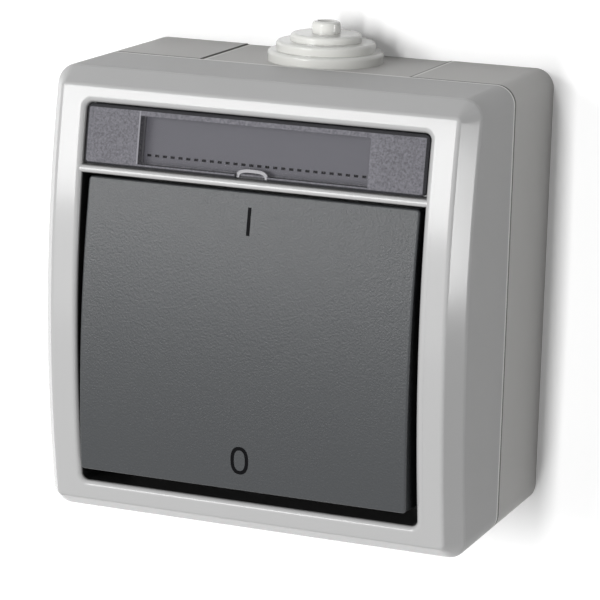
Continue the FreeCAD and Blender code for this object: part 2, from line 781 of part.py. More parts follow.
def tilted(shape):
    """Turn a piece of the rocker from its middle position to rest, with its top pressed in."""
    turned = shape.copy()
    turned.rotate(vector(0, PIVOT_DEPTH, PIVOT_HEIGHT), FreeCAD.Vector(1, 0, 0), -ROCKER_TILT)
    return turned


def bridge_tilted(shape):
    """Turn a piece of the contact bridge from level to rest, with the contact closed."""
    turned = shape.copy()
    turned.rotate(vector(0, BRIDGE_DEPTH, PIVOT_HEIGHT), FreeCAD.Vector(1, 0, 0), BRIDGE_TILT)
    return turned


def rocker_cradle():
    reach = TOWER_OUTER
    pieces = [
        neck_plate(0, CRADLE_REAR, CRADLE_FRONT),
        cross_rod(-reach, reach, PIVOT_DEPTH, PIVOT_HEIGHT, PIN_RADIUS),
    ]
    for x in pole_centres():
        pieces.append(rod(x, PIVOT_HEIGHT, NOSE_RADIUS, CRADLE_REAR - NOSE_LENGTH, CRADLE_REAR))
    cradle = fuse_all(pieces)
    bores = []
    for x in pole_centres():
        radius = PLUNGER_RADIUS + PLUNGER_CLEARANCE
        bores.append(rod(x, PIVOT_HEIGHT, radius, CRADLE_REAR - NOSE_LENGTH, BORE_END_DEPTH))
    return tilted(cradle.cut(bores))


def rocker_seal():
    """A soft frame round the neck, with a raised bead, lying on the well's floor."""
    sway = (WELL_FLOOR_FRONT + NECK_SEAL_THICKNESS - PIVOT_DEPTH) * math.sin(math.radians(ROCKER_TILT))
    gap = NECK_SEAL_CLEARANCE + sway
    rear = WELL_FLOOR_FRONT
    front = rear + NECK_SEAL_THICKNESS
    frame = neck_plate(gap + NECK_SEAL_WIDTH, rear, front)
    bead_front = front + NECK_SEAL_BEAD
    bead_inner = gap + (NECK_SEAL_WIDTH + SOCKET_WALL) / 2
    bead = neck_plate(bead_inner + NECK_SEAL_BEAD_WIDTH, rear, bead_front)
    bead = bead.cut(neck_plate(bead_inner, rear, bead_front))
    return fuse_all([frame, bead]).cut(neck_plate(gap, rear, front))


def plunger(x):
    """A guided pin with a ball nose, which presses on the contact bridge."""
    tip_reach = PIVOT_DEPTH - BRIDGE_DEPTH - BRIDGE_THICKNESS - PLUNGER_GAP - PLUNGER_TIP_RADIUS
    centre = PIVOT_DEPTH - tip_reach
    guide_rear = centre + PLUNGER_TIP_RADIUS
    body = rod(x, PIVOT_HEIGHT, PLUNGER_RADIUS, guide_rear, PLUNGER_HEAD_DEPTH)
    nose = rod(x, PIVOT_HEIGHT, PLUNGER_TIP_RADIUS, centre, guide_rear)
    ball = Part.makeSphere(PLUNGER_TIP_RADIUS, vector(x, centre, PIVOT_HEIGHT))
    return tilted(fuse_all([body, nose, ball]))


def plunger_spring(x):
    length = SPRING_LENGTH - 2 * (SPRING_WIRE_RADIUS + SPRING_SEAT_GAP)
    helix = Part.makeHelix(length / SPRING_TURNS, length, SPRING_COIL_RADIUS)
    section = Part.Wire(
        Part.makeCircle(
            SPRING_WIRE_RADIUS,
            FreeCAD.Vector(SPRING_COIL_RADIUS, 0, 0),
            FreeCAD.Vector(0, 1, 0),
        )
    )
    spring = Part.Wire(helix).makePipeShell([section], True, True)
    spring.rotate(FreeCAD.Vector(0, 0, 0), FreeCAD.Vector(1, 0, 0), 90)
    seat = PLUNGER_HEAD_DEPTH + SPRING_WIRE_RADIUS + SPRING_SEAT_GAP
    spring.translate(vector(x, seat, PIVOT_HEIGHT))
    return tilted(spring)


def contact_bridge(x):
    """A rocking copper strip with a contact rivet under its lower end."""
    strip = plate(
        BRIDGE_WIDTH / 2,
        PIVOT_HEIGHT - BRIDGE_HALF_LENGTH,
        PIVOT_HEIGHT + BRIDGE_HALF_LENGTH,
        BRIDGE_WIDTH / 4,
        BRIDGE_DEPTH,
        BRIDGE_DEPTH + BRIDGE_THICKNESS,
    )
    strip.translate(vector(x, 0, 0))
    rivet = rod(
        x, PIVOT_HEIGHT - CONTACT_PLACE, CONTACT_RADIUS, BRIDGE_DEPTH - CONTACT_HEIGHT, BRIDGE_DEPTH
    )
    return bridge_tilted(fuse_all([strip, rivet]))


def pivot_terminal(x):
    """A bent strip with an upright knife edge, running up to the upper clamp."""
    floor = POCKET_FLOOR
    top = floor + STRIP_THICKNESS
    knife_top = BRIDGE_DEPTH - KNIFE_GAP
    half = STRIP_THICKNESS / 2
    tip = KNIFE_TIP_WIDTH / 2
    z = PIVOT_HEIGHT
    corners = [
        (z - half, floor, 0),
        (z + CHAMBER_OUTER - STRIP_CLEARANCE, floor, 0),
        (z + CHAMBER_OUTER - STRIP_CLEARANCE, top, 0),
        (z + half, top, 0),
        (z + half, knife_top - STRIP_THICKNESS, 0),
        (z + tip, knife_top, 0),
        (z - tip, knife_top, 0),
        (z - half, knife_top - STRIP_THICKNESS, 0),
    ]
    return side_prism(corners, x - STRIP_WIDTH / 2, x + STRIP_WIDTH / 2)


def switched_terminal(x):
    """A bent strip that carries the fixed contact, running down to the lower clamp."""
    floor = POCKET_FLOOR
    top = floor + STRIP_THICKNESS
    contact_top = BRIDGE_DEPTH - CONTACT_HEIGHT - CONTACT_GAP
    contact = bridge_tilted(
        rod(x, PIVOT_HEIGHT - CONTACT_PLACE, CONTACT_RADIUS, contact_top - CONTACT_HEIGHT, contact_top)
    )
    drop = CONTACT_PLACE * math.sin(math.radians(BRIDGE_TILT))
    shelf_top = contact_top - CONTACT_HEIGHT - drop + CONTACT_RADIUS * math.sin(math.radians(BRIDGE_TILT))
    shelf_low = shelf_top - STRIP_THICKNESS
    z = PIVOT_HEIGHT
    far = z - POCKET_HALF_HEIGHT + STRIP_THICKNESS
    near = z - CONTACT_PLACE + CONTACT_RADIUS + 2 * STRIP_CLEARANCE
    end = z - CHAMBER_OUTER + STRIP_CLEARANCE
    corners = [
        (end, floor, 0),
        (far + STRIP_THICKNESS, floor, 0),
        (far + STRIP_THICKNESS, shelf_low, 0),
        (near, shelf_low, 0),
        (near, shelf_top, 0),
        (far, shelf_top, 0),
        (far, top, 0),
        (end, top, 0),
    ]
    strip = side_prism(corners, x - STRIP_WIDTH / 2, x + STRIP_WIDTH / 2)
    return fuse_all([strip, contact])


def terminal_places():
    middle = (CHAMBER_INNER + CHAMBER_OUTER) / 2
    return [(x, PIVOT_HEIGHT + way * middle) for x in pole_centres() for way in (-1, 1)]


def terminal_clamp(x, z):
    """A cage round the strip's end, which the screw draws up on the wire."""
    rear = POCKET_FLOOR + STRIP_THICKNESS + CLAMP_STRIP_GAP
    front = rear + CLAMP_DEPTH
    cage = block(
        x - CLAMP_WIDTH / 2, x + CLAMP_WIDTH / 2, rear, front, z - CLAMP_LENGTH / 2, z + CLAMP_LENGTH / 2
    )
    way_through = block(
        x - CLAMP_WIDTH / 2 + CLAMP_WALL,
        x + CLAMP_WIDTH / 2 - CLAMP_WALL,
        rear + CLAMP_WALL,
        front - 2 * CLAMP_WALL,
        z - CLAMP_LENGTH / 2,
        z + CLAMP_LENGTH / 2,
    )
    thread = rod(x, z, TERMINAL_SCREW_RADIUS + THREAD_CLEARANCE, front - 2 * CLAMP_WALL, front)
    return cage.cut([way_through, thread])


def terminal_clamps():
    return Part.makeCompound([terminal_clamp(x, z) for x, z in terminal_places()])


def terminal_screws():
    seat = POCKET_FLOOR + STRIP_THICKNESS + CLAMP_STRIP_GAP + CLAMP_DEPTH + CLAMP_STRIP_GAP
    length = CLAMP_DEPTH / 2
    screws = []
    for x, z in terminal_places():
        screws.append(
            screw(x, z, seat, length, TERMINAL_SCREW_RADIUS, TERMINAL_HEAD_RADIUS, TERMINAL_HEAD_HEIGHT)
        )
    return Part.makeCompound(screws)


def bearing_tower():
    """The right-hand bearing for the cradle's trunnion pin."""
    z = PIVOT_HEIGHT
    corners = [
        (z - TOWER_HALF_WIDTH, FRAME_DEPTH - FLANGE_THICKNESS, 0),
        (z + TOWER_HALF_WIDTH, FRAME_DEPTH - FLANGE_THICKNESS, 0),
        (z + TOWER_HALF_WIDTH, TOWER_TOP, TOWER_ROUND),
        (z - TOWER_HALF_WIDTH, TOWER_TOP, TOWER_ROUND),
    ]
    tower = side_prism(corners, TOWER_INNER, TOWER_OUTER)
    radius = PIN_RADIUS + PIN_CLEARANCE
    bore = cross_rod(TOWER_INNER, TOWER_OUTER, PIVOT_DEPTH, z, radius)
    return tower.cut(bore)


def mechanism_body():
    z = PIVOT_HEIGHT
    half = BODY_HALF_HEIGHT
    base = plate(BODY_HALF_WIDTH, z - half, z + half, BODY_CORNER, BODY_REAR, FRAME_DEPTH)
    flange = plate(
        BODY_HALF_WIDTH,
        z - half - FLANGE_REACH,
        z + half + FLANGE_REACH,
        BODY_CORNER,
        FRAME_DEPTH - FLANGE_THICKNESS,
        FRAME_DEPTH,
    )
    body = fuse_all([base, flange] + both_sides(bearing_tower()))
    cutters = []
    for x in pole_centres():
        left = x - POCKET_WIDTH / 2
        right = x + POCKET_WIDTH / 2
        reach = POCKET_HALF_HEIGHT
        cutters.append(block(left, right, POCKET_FLOOR, FRAME_DEPTH, z - reach, z + reach))
        for low, high in ((-CHAMBER_OUTER, -CHAMBER_INNER), (CHAMBER_INNER, CHAMBER_OUTER)):
            cutters.append(block(left, right, POCKET_FLOOR, FRAME_DEPTH, z + low, z + high))
        slot = STRIP_WIDTH / 2 + STRIP_CLEARANCE
        slot_top = POCKET_FLOOR + STRIP_THICKNESS + STRIP_CLEARANCE
        cutters.append(
            block(x - slot, x + slot, POCKET_FLOOR, slot_top, z - CHAMBER_INNER, z + CHAMBER_INNER)
        )
        for way in (-1, 1):
            start = vector(x, BODY_REAR + WIRE_HOLE_RISE, z + way * CHAMBER_INNER)
            direction = FreeCAD.Vector(0, 0, way)
            cutters.append(Part.makeCylinder(WIRE_HOLE_RADIUS, BODY_HALF_HEIGHT, start, direction))
    reach = POCKET_HALF_HEIGHT
    relief = RELIEF_HALF_WIDTH
    cutters.append(block(-relief, relief, POCKET_FLOOR, FRAME_DEPTH, z - reach, z + reach))
    return body.cut(cutters)


def mechanism_frame():
    """The steel plate: a window for the mechanism, screw holes and two bent-up edges."""
    z = PIVOT_HEIGHT
    sheet = plate(
        FRAME_HALF_WIDTH,
        z - FRAME_HALF_HEIGHT,
        z + FRAME_HALF_HEIGHT,
        FRAME_CORNER,
        FRAME_DEPTH,
        FRAME_FRONT,
    )
    lip = block(
        FRAME_HALF_WIDTH - FRAME_THICKNESS,
        FRAME_HALF_WIDTH,
        FRAME_DEPTH,
        FRAME_FRONT + FRAME_LIP_HEIGHT,
        z - FRAME_LIP_HALF_LENGTH,
        z + FRAME_LIP_HALF_LENGTH,
    )
    frame = fuse_all([sheet] + both_sides(lip))
    cutters = [
        plate(
            BODY_HALF_WIDTH - FRAME_WINDOW_OVERLAP,
            z - CHAMBER_OUTER,
            z + CHAMBER_OUTER,
            BODY_CORNER,
            FRAME_DEPTH,
            FRAME_FRONT,
        )
    ]
    for x, hole_z in frame_screw_places() + cover_screw_places():
        cutters.append(rod(x, hole_z, SCREW_RADIUS + HOLE_CLEARANCE, FRAME_DEPTH, FRAME_FRONT))
    return frame.cut(cutters)


def frame_screws():
    length = FRAME_THICKNESS + SCREW_GRIP - SCREW_END_GAP
    screws = []
    for x, z in frame_screw_places():
        screws.append(
            screw(x, z, FRAME_FRONT, length, SCREW_RADIUS, SCREW_HEAD_RADIUS, SCREW_HEAD_HEIGHT)
        )
    return Part.makeCompound(screws)


def cover_screws():
    length = WELL_FLOOR_FRONT - FRAME_DEPTH + SCREW_GRIP - SCREW_END_GAP
    screws = []
    for x, z in cover_screw_places():
        screws.append(
            screw(x, z, WELL_FLOOR_FRONT, length, SCREW_RADIUS, SCREW_HEAD_RADIUS, SCREW_HEAD_HEIGHT)
        )
    return Part.makeCompound(screws)


def all_nodes():
    left, right = pole_centres()
    return {
        "back_box": back_box(),
        "cable_entry_plate": cable_entry_plate(),
        "cable_grommet": cable_grommet(),
        "rim_seal": rim_seal(),
        "front_cover": front_cover(),
        "label_lens": label_lens(),
        "label_card": label_card(),
        "rocker": rocker(),
        "rocker_cradle": rocker_cradle(),
        "rocker_seal": rocker_seal(),
        "plunger_left": plunger(left),
        "plunger_right": plunger(right),
        "plunger_spring_left": plunger_spring(left),
        "plunger_spring_right": plunger_spring(right),
        "contact_bridge_left": contact_bridge(left),
        "contact_bridge_right": contact_bridge(right),
        "pivot_terminal_left": pivot_terminal(left),
        "pivot_terminal_right": pivot_terminal(right),
        "switched_terminal_left": switched_terminal(left),
        "switched_terminal_right": switched_terminal(right),
        "terminal_clamps": terminal_clamps(),
        "terminal_screws": terminal_screws(),
        "mechanism_body": mechanism_body(),
        "mechanism_frame": mechanism_frame(),
        "frame_screws": frame_screws(),
        "cover_screws": cover_screws(),
    }


os.makedirs("parts", exist_ok=True)
for name, shape in all_nodes().items():
    if not shape.isValid():
        raise RuntimeError(name + " is not a valid solid")
    shape.exportStep("parts/" + name + ".step")
    print(name, "solids", len(shape.Solids), "volume", round(shape.Volume, 1))
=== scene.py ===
"""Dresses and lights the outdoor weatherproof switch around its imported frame."""

import logging
import math
from dataclasses import dataclass, field
from enum import Enum

import bmesh
import bpy
from mathutils import Matrix, Vector


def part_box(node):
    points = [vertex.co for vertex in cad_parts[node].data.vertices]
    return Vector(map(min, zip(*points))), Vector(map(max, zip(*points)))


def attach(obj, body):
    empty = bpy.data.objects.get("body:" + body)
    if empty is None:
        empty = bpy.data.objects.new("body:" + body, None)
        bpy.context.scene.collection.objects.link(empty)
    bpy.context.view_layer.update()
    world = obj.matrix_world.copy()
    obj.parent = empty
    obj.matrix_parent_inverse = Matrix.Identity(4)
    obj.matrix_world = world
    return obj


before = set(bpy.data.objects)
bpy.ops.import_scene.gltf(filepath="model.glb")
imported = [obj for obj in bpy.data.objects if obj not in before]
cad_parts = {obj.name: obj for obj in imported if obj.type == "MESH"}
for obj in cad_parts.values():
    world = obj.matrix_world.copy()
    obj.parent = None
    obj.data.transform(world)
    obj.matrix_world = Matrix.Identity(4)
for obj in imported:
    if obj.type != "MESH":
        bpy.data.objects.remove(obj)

LOG = logging.getLogger("switch")
MILLIMETRE = 0.001
# A bump node's full effect, where its distance alone sets the height.
FULL_STRENGTH = 1.0
IMAGE_WIDTH_PX = 600
SENSOR_WIDTH_MM = 36.0

Colour = tuple[float, float, float, float]
Point = tuple[float, float]
Span = tuple[float, float]
# An input takes a value of its own or a link from another node.
Number = float | bpy.types.NodeSocket
Shade = Colour | bpy.types.NodeSocket


def linear(code: str) -> Colour:
    """Turn an sRGB hex value into linear red, green, blue and alpha.

    Args:
        code: Six hex digits with a leading hash.

    Returns:
        The linear colour, with an alpha of 1.
    """
    channels = [int(code[place:place + 2], 16) / 255 for place in (1, 3, 5)]
    bright = [
        value / 12.92 if value <= 0.04045 else ((value + 0.055) / 1.055) ** 2.4
        for value in channels
    ]
    return (bright[0], bright[1], bright[2], 1.0)


WHITE = linear("#ffffff")


def scaled(colour: Colour, factor: float) -> Colour:
    """Return a colour made darker or lighter, but no brighter than white."""
    red, green, blue = (min(channel * factor, 1.0) for channel in colour[:3])
    return (red, green, blue, 1.0)


def per_metre(size_mm: float) -> float:
    """Return the texture scale that gives cells of a real size in millimetres."""
    return 1 / (size_mm * MILLIMETRE)


def add_node(
    tree: bpy.types.NodeTree,
    kind: str,
    inputs: dict[str | int, object] | None = None,
    **settings: object,
) -> bpy.types.Node:
    """Add a node, set its properties, and fill or link its inputs.

    Args:
        tree: The node tree that takes the node.
        kind: Blender's type name of the node.
        inputs: For each input's name or index, a value or an output socket to link.
        **settings: Properties of the node itself.

    Returns:
        The new node.
    """
    node = tree.nodes.new(kind)
    for name, value in settings.items():
        setattr(node, name, value)
    for key, value in (inputs or {}).items():
        if isinstance(value, bpy.types.NodeSocket):
            tree.links.new(value, node.inputs[key])
        else:
            node.inputs[key].default_value = value
    return node


def calculated(tree: bpy.types.NodeTree, operation: str, *values: Number) -> bpy.types.NodeSocket:
    """Work out a value from others with a Math node.

    Args:
        tree: The node tree that takes the node.
        operation: Blender's name of the operation.
        *values: The operation's inputs in order.

    Returns:
        The result's socket.
    """
    node = add_node(tree, "ShaderNodeMath", dict(enumerate(values)), operation=operation)
    return node.outputs[0]


def mapped(
    tree: bpy.types.NodeTree,
    value: Number,
    source: Span = (0.0, 1.0),
    target: Span = (0.0, 1.0),
) -> bpy.types.NodeSocket:
    """Carry a value over from one span to another, and hold it at both ends.

    Args:
        tree: The node tree that takes the node.
        value: The value.
        source: The two ends that the value comes from.
        target: The two ends that it goes to.

    Returns:
        The result's socket.
    """
    node = add_node(
        tree,
        "ShaderNodeMapRange",
        {
            "Value": value,
            "From Min": source[0],
            "From Max": source[1],
            "To Min": target[0],
            "To Max": target[1],
        },
    )
    return node.outputs["Result"]


def mixed(
    tree: bpy.types.NodeTree, share: Number, first: Shade, second: Shade
) -> bpy.types.NodeSocket:
    """Mix two colours.

    Args:
        tree: The node tree that takes the node.
        share: 0 gives the first colour and 1 the second.
        first: The first colour.
        second: The second colour.

    Returns:
        The mixed colour's socket.
    """
    node = add_node(tree, "ShaderNodeMix", {0: share, 6: first, 7: second}, data_type="RGBA")
    return node.outputs[2]


def bumped(
    tree: bpy.types.NodeTree,
    shape: Number,
    height_mm: float,
    normal: bpy.types.NodeSocket | None = None,
) -> bpy.types.NodeSocket:
    """Give a surface its relief.

    Args:
        tree: The node tree that takes the node.
        shape: The relief at each point, from 0 to 1.
        height_mm: How high a relief of 1 stands, in millimetres.
        normal: The normal that another relief has left, if any.

    Returns:
        The normal's socket.
    """
    inputs = {"Height": shape, "Distance": height_mm * MILLIMETRE, "Strength": FULL_STRENGTH}
    if normal is not None:
        inputs["Normal"] = normal
    return add_node(tree, "ShaderNodeBump", inputs).outputs["Normal"]


def blank_material(name: str) -> tuple[bpy.types.Material, bpy.types.NodeTree]:
    """Make a material with nothing in its node tree.

    Args:
        name: The material's name.

    Returns:
        The new material and its node tree.
    """
    material = bpy.data.materials.new(name)
    material.use_nodes = True
    material.node_tree.nodes.clear()
    return material, material.node_tree


def object_place(tree: bpy.types.NodeTree) -> bpy.types.NodeSocket:
    """Return the socket that gives a point's place on its own piece, in metres."""
    return add_node(tree, "ShaderNodeTexCoord").outputs["Object"]


class Grain(Enum):
    """How the mould's surface was made, which sets the relief that it leaves on a piece."""

    POLISHED = "polished"
    FINE_MATT = "fine matt"
    SPARK_ERODED = "spark eroded"


@dataclass(frozen=True)
class Relief:
    """Size of a surface's grain: cells and heights in millimetres."""

    cell_mm: float
    height_mm: float
    waves_mm: float
    wave_height_mm: float


# Sparks leave pits of 0.1 to 0.3 mm. They are drawn a little coarser so that the render shows them.
RELIEFS = {
    Grain.POLISHED: Relief(cell_mm=0.9, height_mm=0.0006, waves_mm=14.0, wave_height_mm=0.004),
    Grain.FINE_MATT: Relief(cell_mm=0.35, height_mm=0.012, waves_mm=16.0, wave_height_mm=0.004),
    Grain.SPARK_ERODED: Relief(cell_mm=0.36, height_mm=0.06, waves_mm=20.0, wave_height_mm=0.003),
}


# The cover's face: how far its crest stands out from the wall, and its arch along the height.
CREST_MM = 47.7
ARCH_RISE_MM = 4.2
ARCH_HALF_HEIGHT_MM = 40.75


@dataclass(frozen=True)
class PaintedWellShade:
    """Painted shade in the rocker's well below the opening's lip, where shade falls deep in the gap
    round the rocker.

    Sizes are in millimetres: how far the dark reaches to each side, down and up, and how
    far below the cover's face it begins and is full.
    """

    half_width: float
    bottom: float
    top: float
    light_to: float = 0.5
    dark_from: float = 1.0
    colour: str = "#141414"

    def shade(
        self,
        tree: bpy.types.NodeTree,
        place: bpy.types.NodeSocket,
        colour: bpy.types.NodeSocket,
    ) -> bpy.types.NodeSocket:
        """Paint shade into the well's inside, darker with depth below the face.

        Args:
            tree: The material's node tree.
            place: The point's place on the piece.
            colour: The plastic's colour before the painted shade.

        Returns:
            The colour, with painted shade down in the well.
        """
        split = add_node(tree, "ShaderNodeSeparateXYZ", {0: place})
        across = calculated(tree, "ABSOLUTE", split.outputs["X"])
        dark = mapped(
            tree,
            self._below_face(tree, split),
            source=(self.light_to * MILLIMETRE, self.dark_from * MILLIMETRE),
        )
        tests = (
            (across, "LESS_THAN", self.half_width),
            (split.outputs["Z"], "GREATER_THAN", self.bottom),
            (split.outputs["Z"], "LESS_THAN", self.top),
        )
        for value, operation, limit in tests:
            inside = calculated(tree, operation, value, limit * MILLIMETRE)
            dark = calculated(tree, "MULTIPLY", dark, inside)
        # Painted shade: a near black colour stands in for the shade deep in the well.
        return mixed(tree, dark, colour, linear(self.colour))

    def _below_face(
        self, tree: bpy.types.NodeTree, split: bpy.types.Node
    ) -> bpy.types.NodeSocket:
        """Work out how far a point lies below the face, whose arch is taken as a parabola.

        Args:
            tree: The material's node tree.
            split: The node that splits the point's place into its three parts.

        Returns:
            The depth below the face, in metres.
        """
        bend = ARCH_RISE_MM / (ARCH_HALF_HEIGHT_MM**2 * MILLIMETRE)
        square = calculated(tree, "POWER", split.outputs["Z"], 2.0)
        below_crest = calculated(tree, "ADD", split.outputs["Y"], CREST_MM * MILLIMETRE)
        return calculated(tree, "MULTIPLY_ADD", square, -bend, below_crest)


@dataclass(frozen=True)
class PaintedJointLine:
    """A fine line painted where two mouldings meet: painted shade in the gap where its colour is
    dark, and a painted highlight on a rounded rim where its colour is light.

    Sizes are in millimetres: the joint's place along its axis, the distances from it
    at which the line's colour is full and has gone, and the height at which it starts.
    """

    axis: str
    place: float
    colour: str
    full: float = 0.2
    gone: float = 0.38
    above: float = -100.0

    def shade(
        self,
        tree: bpy.types.NodeTree,
        place: bpy.types.NodeSocket,
        colour: bpy.types.NodeSocket,
    ) -> bpy.types.NodeSocket:
        """Paint the line: a dark colour paints shade, a light one paints a highlight.

        Args:
            tree: The material's node tree.
            place: The point's place on the piece.
            colour: The plastic's own colour.

        Returns:
            The colour with the line.
        """
        split = add_node(tree, "ShaderNodeSeparateXYZ", {0: place})
        off_line = calculated(
            tree, "SUBTRACT", split.outputs[self.axis], self.place * MILLIMETRE
        )
        distance = calculated(tree, "ABSOLUTE", off_line)
        # Painted shade or painted highlight, full near the joint and gone further off.
        line_free = mapped(
            tree, distance, source=(self.full * MILLIMETRE, self.gone * MILLIMETRE)
        )
        under = calculated(tree, "LESS_THAN", split.outputs["Z"], self.above * MILLIMETRE)
        share = calculated(tree, "MAXIMUM", line_free, under)
        return mixed(tree, share, linear(self.colour), colour)


@dataclass(frozen=True)
class MouldedPlastic:
    """An injection-moulded thermoplastic, with its colour mixed into the melt.

    A piece may be duller on its sides than on its front, and a little translucent. The
    spreads are how far its shade and its gloss vary, as a share of each.
    """

    name: str
    colour: str
    grain: Grain
    roughness: float
    ior: float = 1.53
    specular: float = 0.5
    side_roughness: float | None = None
    joints: tuple[PaintedJointLine, ...] = ()
    well: PaintedWellShade | None = None
    translucency: float = 0.0
    scatter_mm: float = 3.0
    shade_spread: float = 0.015
    gloss_spread: float = 0.1
    side_ends: float = -0.15
    polish_starts: float = -0.45

    def material(self) -> bpy.types.Material:
        """Build the material: even colour, faint flow marks and the mould's grain.

        Returns:
            The new material.
        """
        material, tree = blank_material(self.name)
        relief = RELIEFS[self.grain]
        place = object_place(tree)
        flow = add_node(
            tree,
            "ShaderNodeTexNoise",
            {"Vector": place, "Scale": per_metre(relief.waves_mm), "Detail": 2.0},
        )
        cells = add_node(
            tree,
            "ShaderNodeTexNoise",
            {"Vector": place, "Scale": per_metre(relief.cell_mm), "Detail": 3.0, "Roughness": 0.6},
        )
        base = linear(self.colour)
        colour = mixed(
            tree,
            flow.outputs["Fac"],
            scaled(base, 1 - self.shade_spread),
            scaled(base, 1 + self.shade_spread),
        )
        # Painted shade and painted highlights at the joints, and painted shade in the well.
        for joint in self.joints:
            colour = joint.shade(tree, place, colour)
        if self.well is not None:
            colour = self.well.shade(tree, place, colour)
        roughness = mapped(
            tree,
            cells.outputs["Fac"],
            target=(
                self.roughness * (1 - self.gloss_spread),
                self.roughness * (1 + self.gloss_spread),
            ),
        )
        if self.side_roughness is not None:
            roughness = self._duller_sides(tree, roughness)
        waves = bumped(tree, flow.outputs["Fac"], relief.wave_height_mm)
        grain = bumped(tree, cells.outputs["Fac"], relief.height_mm, waves)
        shader = add_node(
            tree,
            "ShaderNodeBsdfPrincipled",
            {
                "Base Color": colour,
                "Roughness": roughness,
                "Normal": grain,
                "IOR": self.ior,
                "Specular IOR Level": self.specular,
                "Subsurface Weight": self.translucency,
                "Subsurface Radius": (1.0, 1.0, 1.0),
                "Subsurface Scale": self.scatter_mm * MILLIMETRE,
            },
        )
        add_node(tree, "ShaderNodeOutputMaterial", {"Surface": shader.outputs["BSDF"]})
        return material

    def _duller_sides(
        self, tree: bpy.types.NodeTree, polished: bpy.types.NodeSocket
    ) -> bpy.types.NodeSocket:
        """Keep the polish on faces that look forwards, and dull those along the mould's draw.

        The two ends of the change are values of the face's direction along Y, which is
        -1 on a face that looks straight out from the wall.

        Args:
            tree: The material's node tree.
            polished: The roughness of the polished faces.

        Returns:
            The roughness all over the piece.
        """
        facing = add_node(tree, "ShaderNodeTexCoord").outputs["Normal"]
        split = add_node(tree, "ShaderNodeSeparateXYZ", {0: facing})
        forwards = mapped(
            tree, split.outputs["Y"], source=(self.side_ends, self.polish_starts)
        )
        return add_node(
            tree, "ShaderNodeMix", {0: forwards, 2: self.side_roughness, 3: polished}
        ).outputs[0]


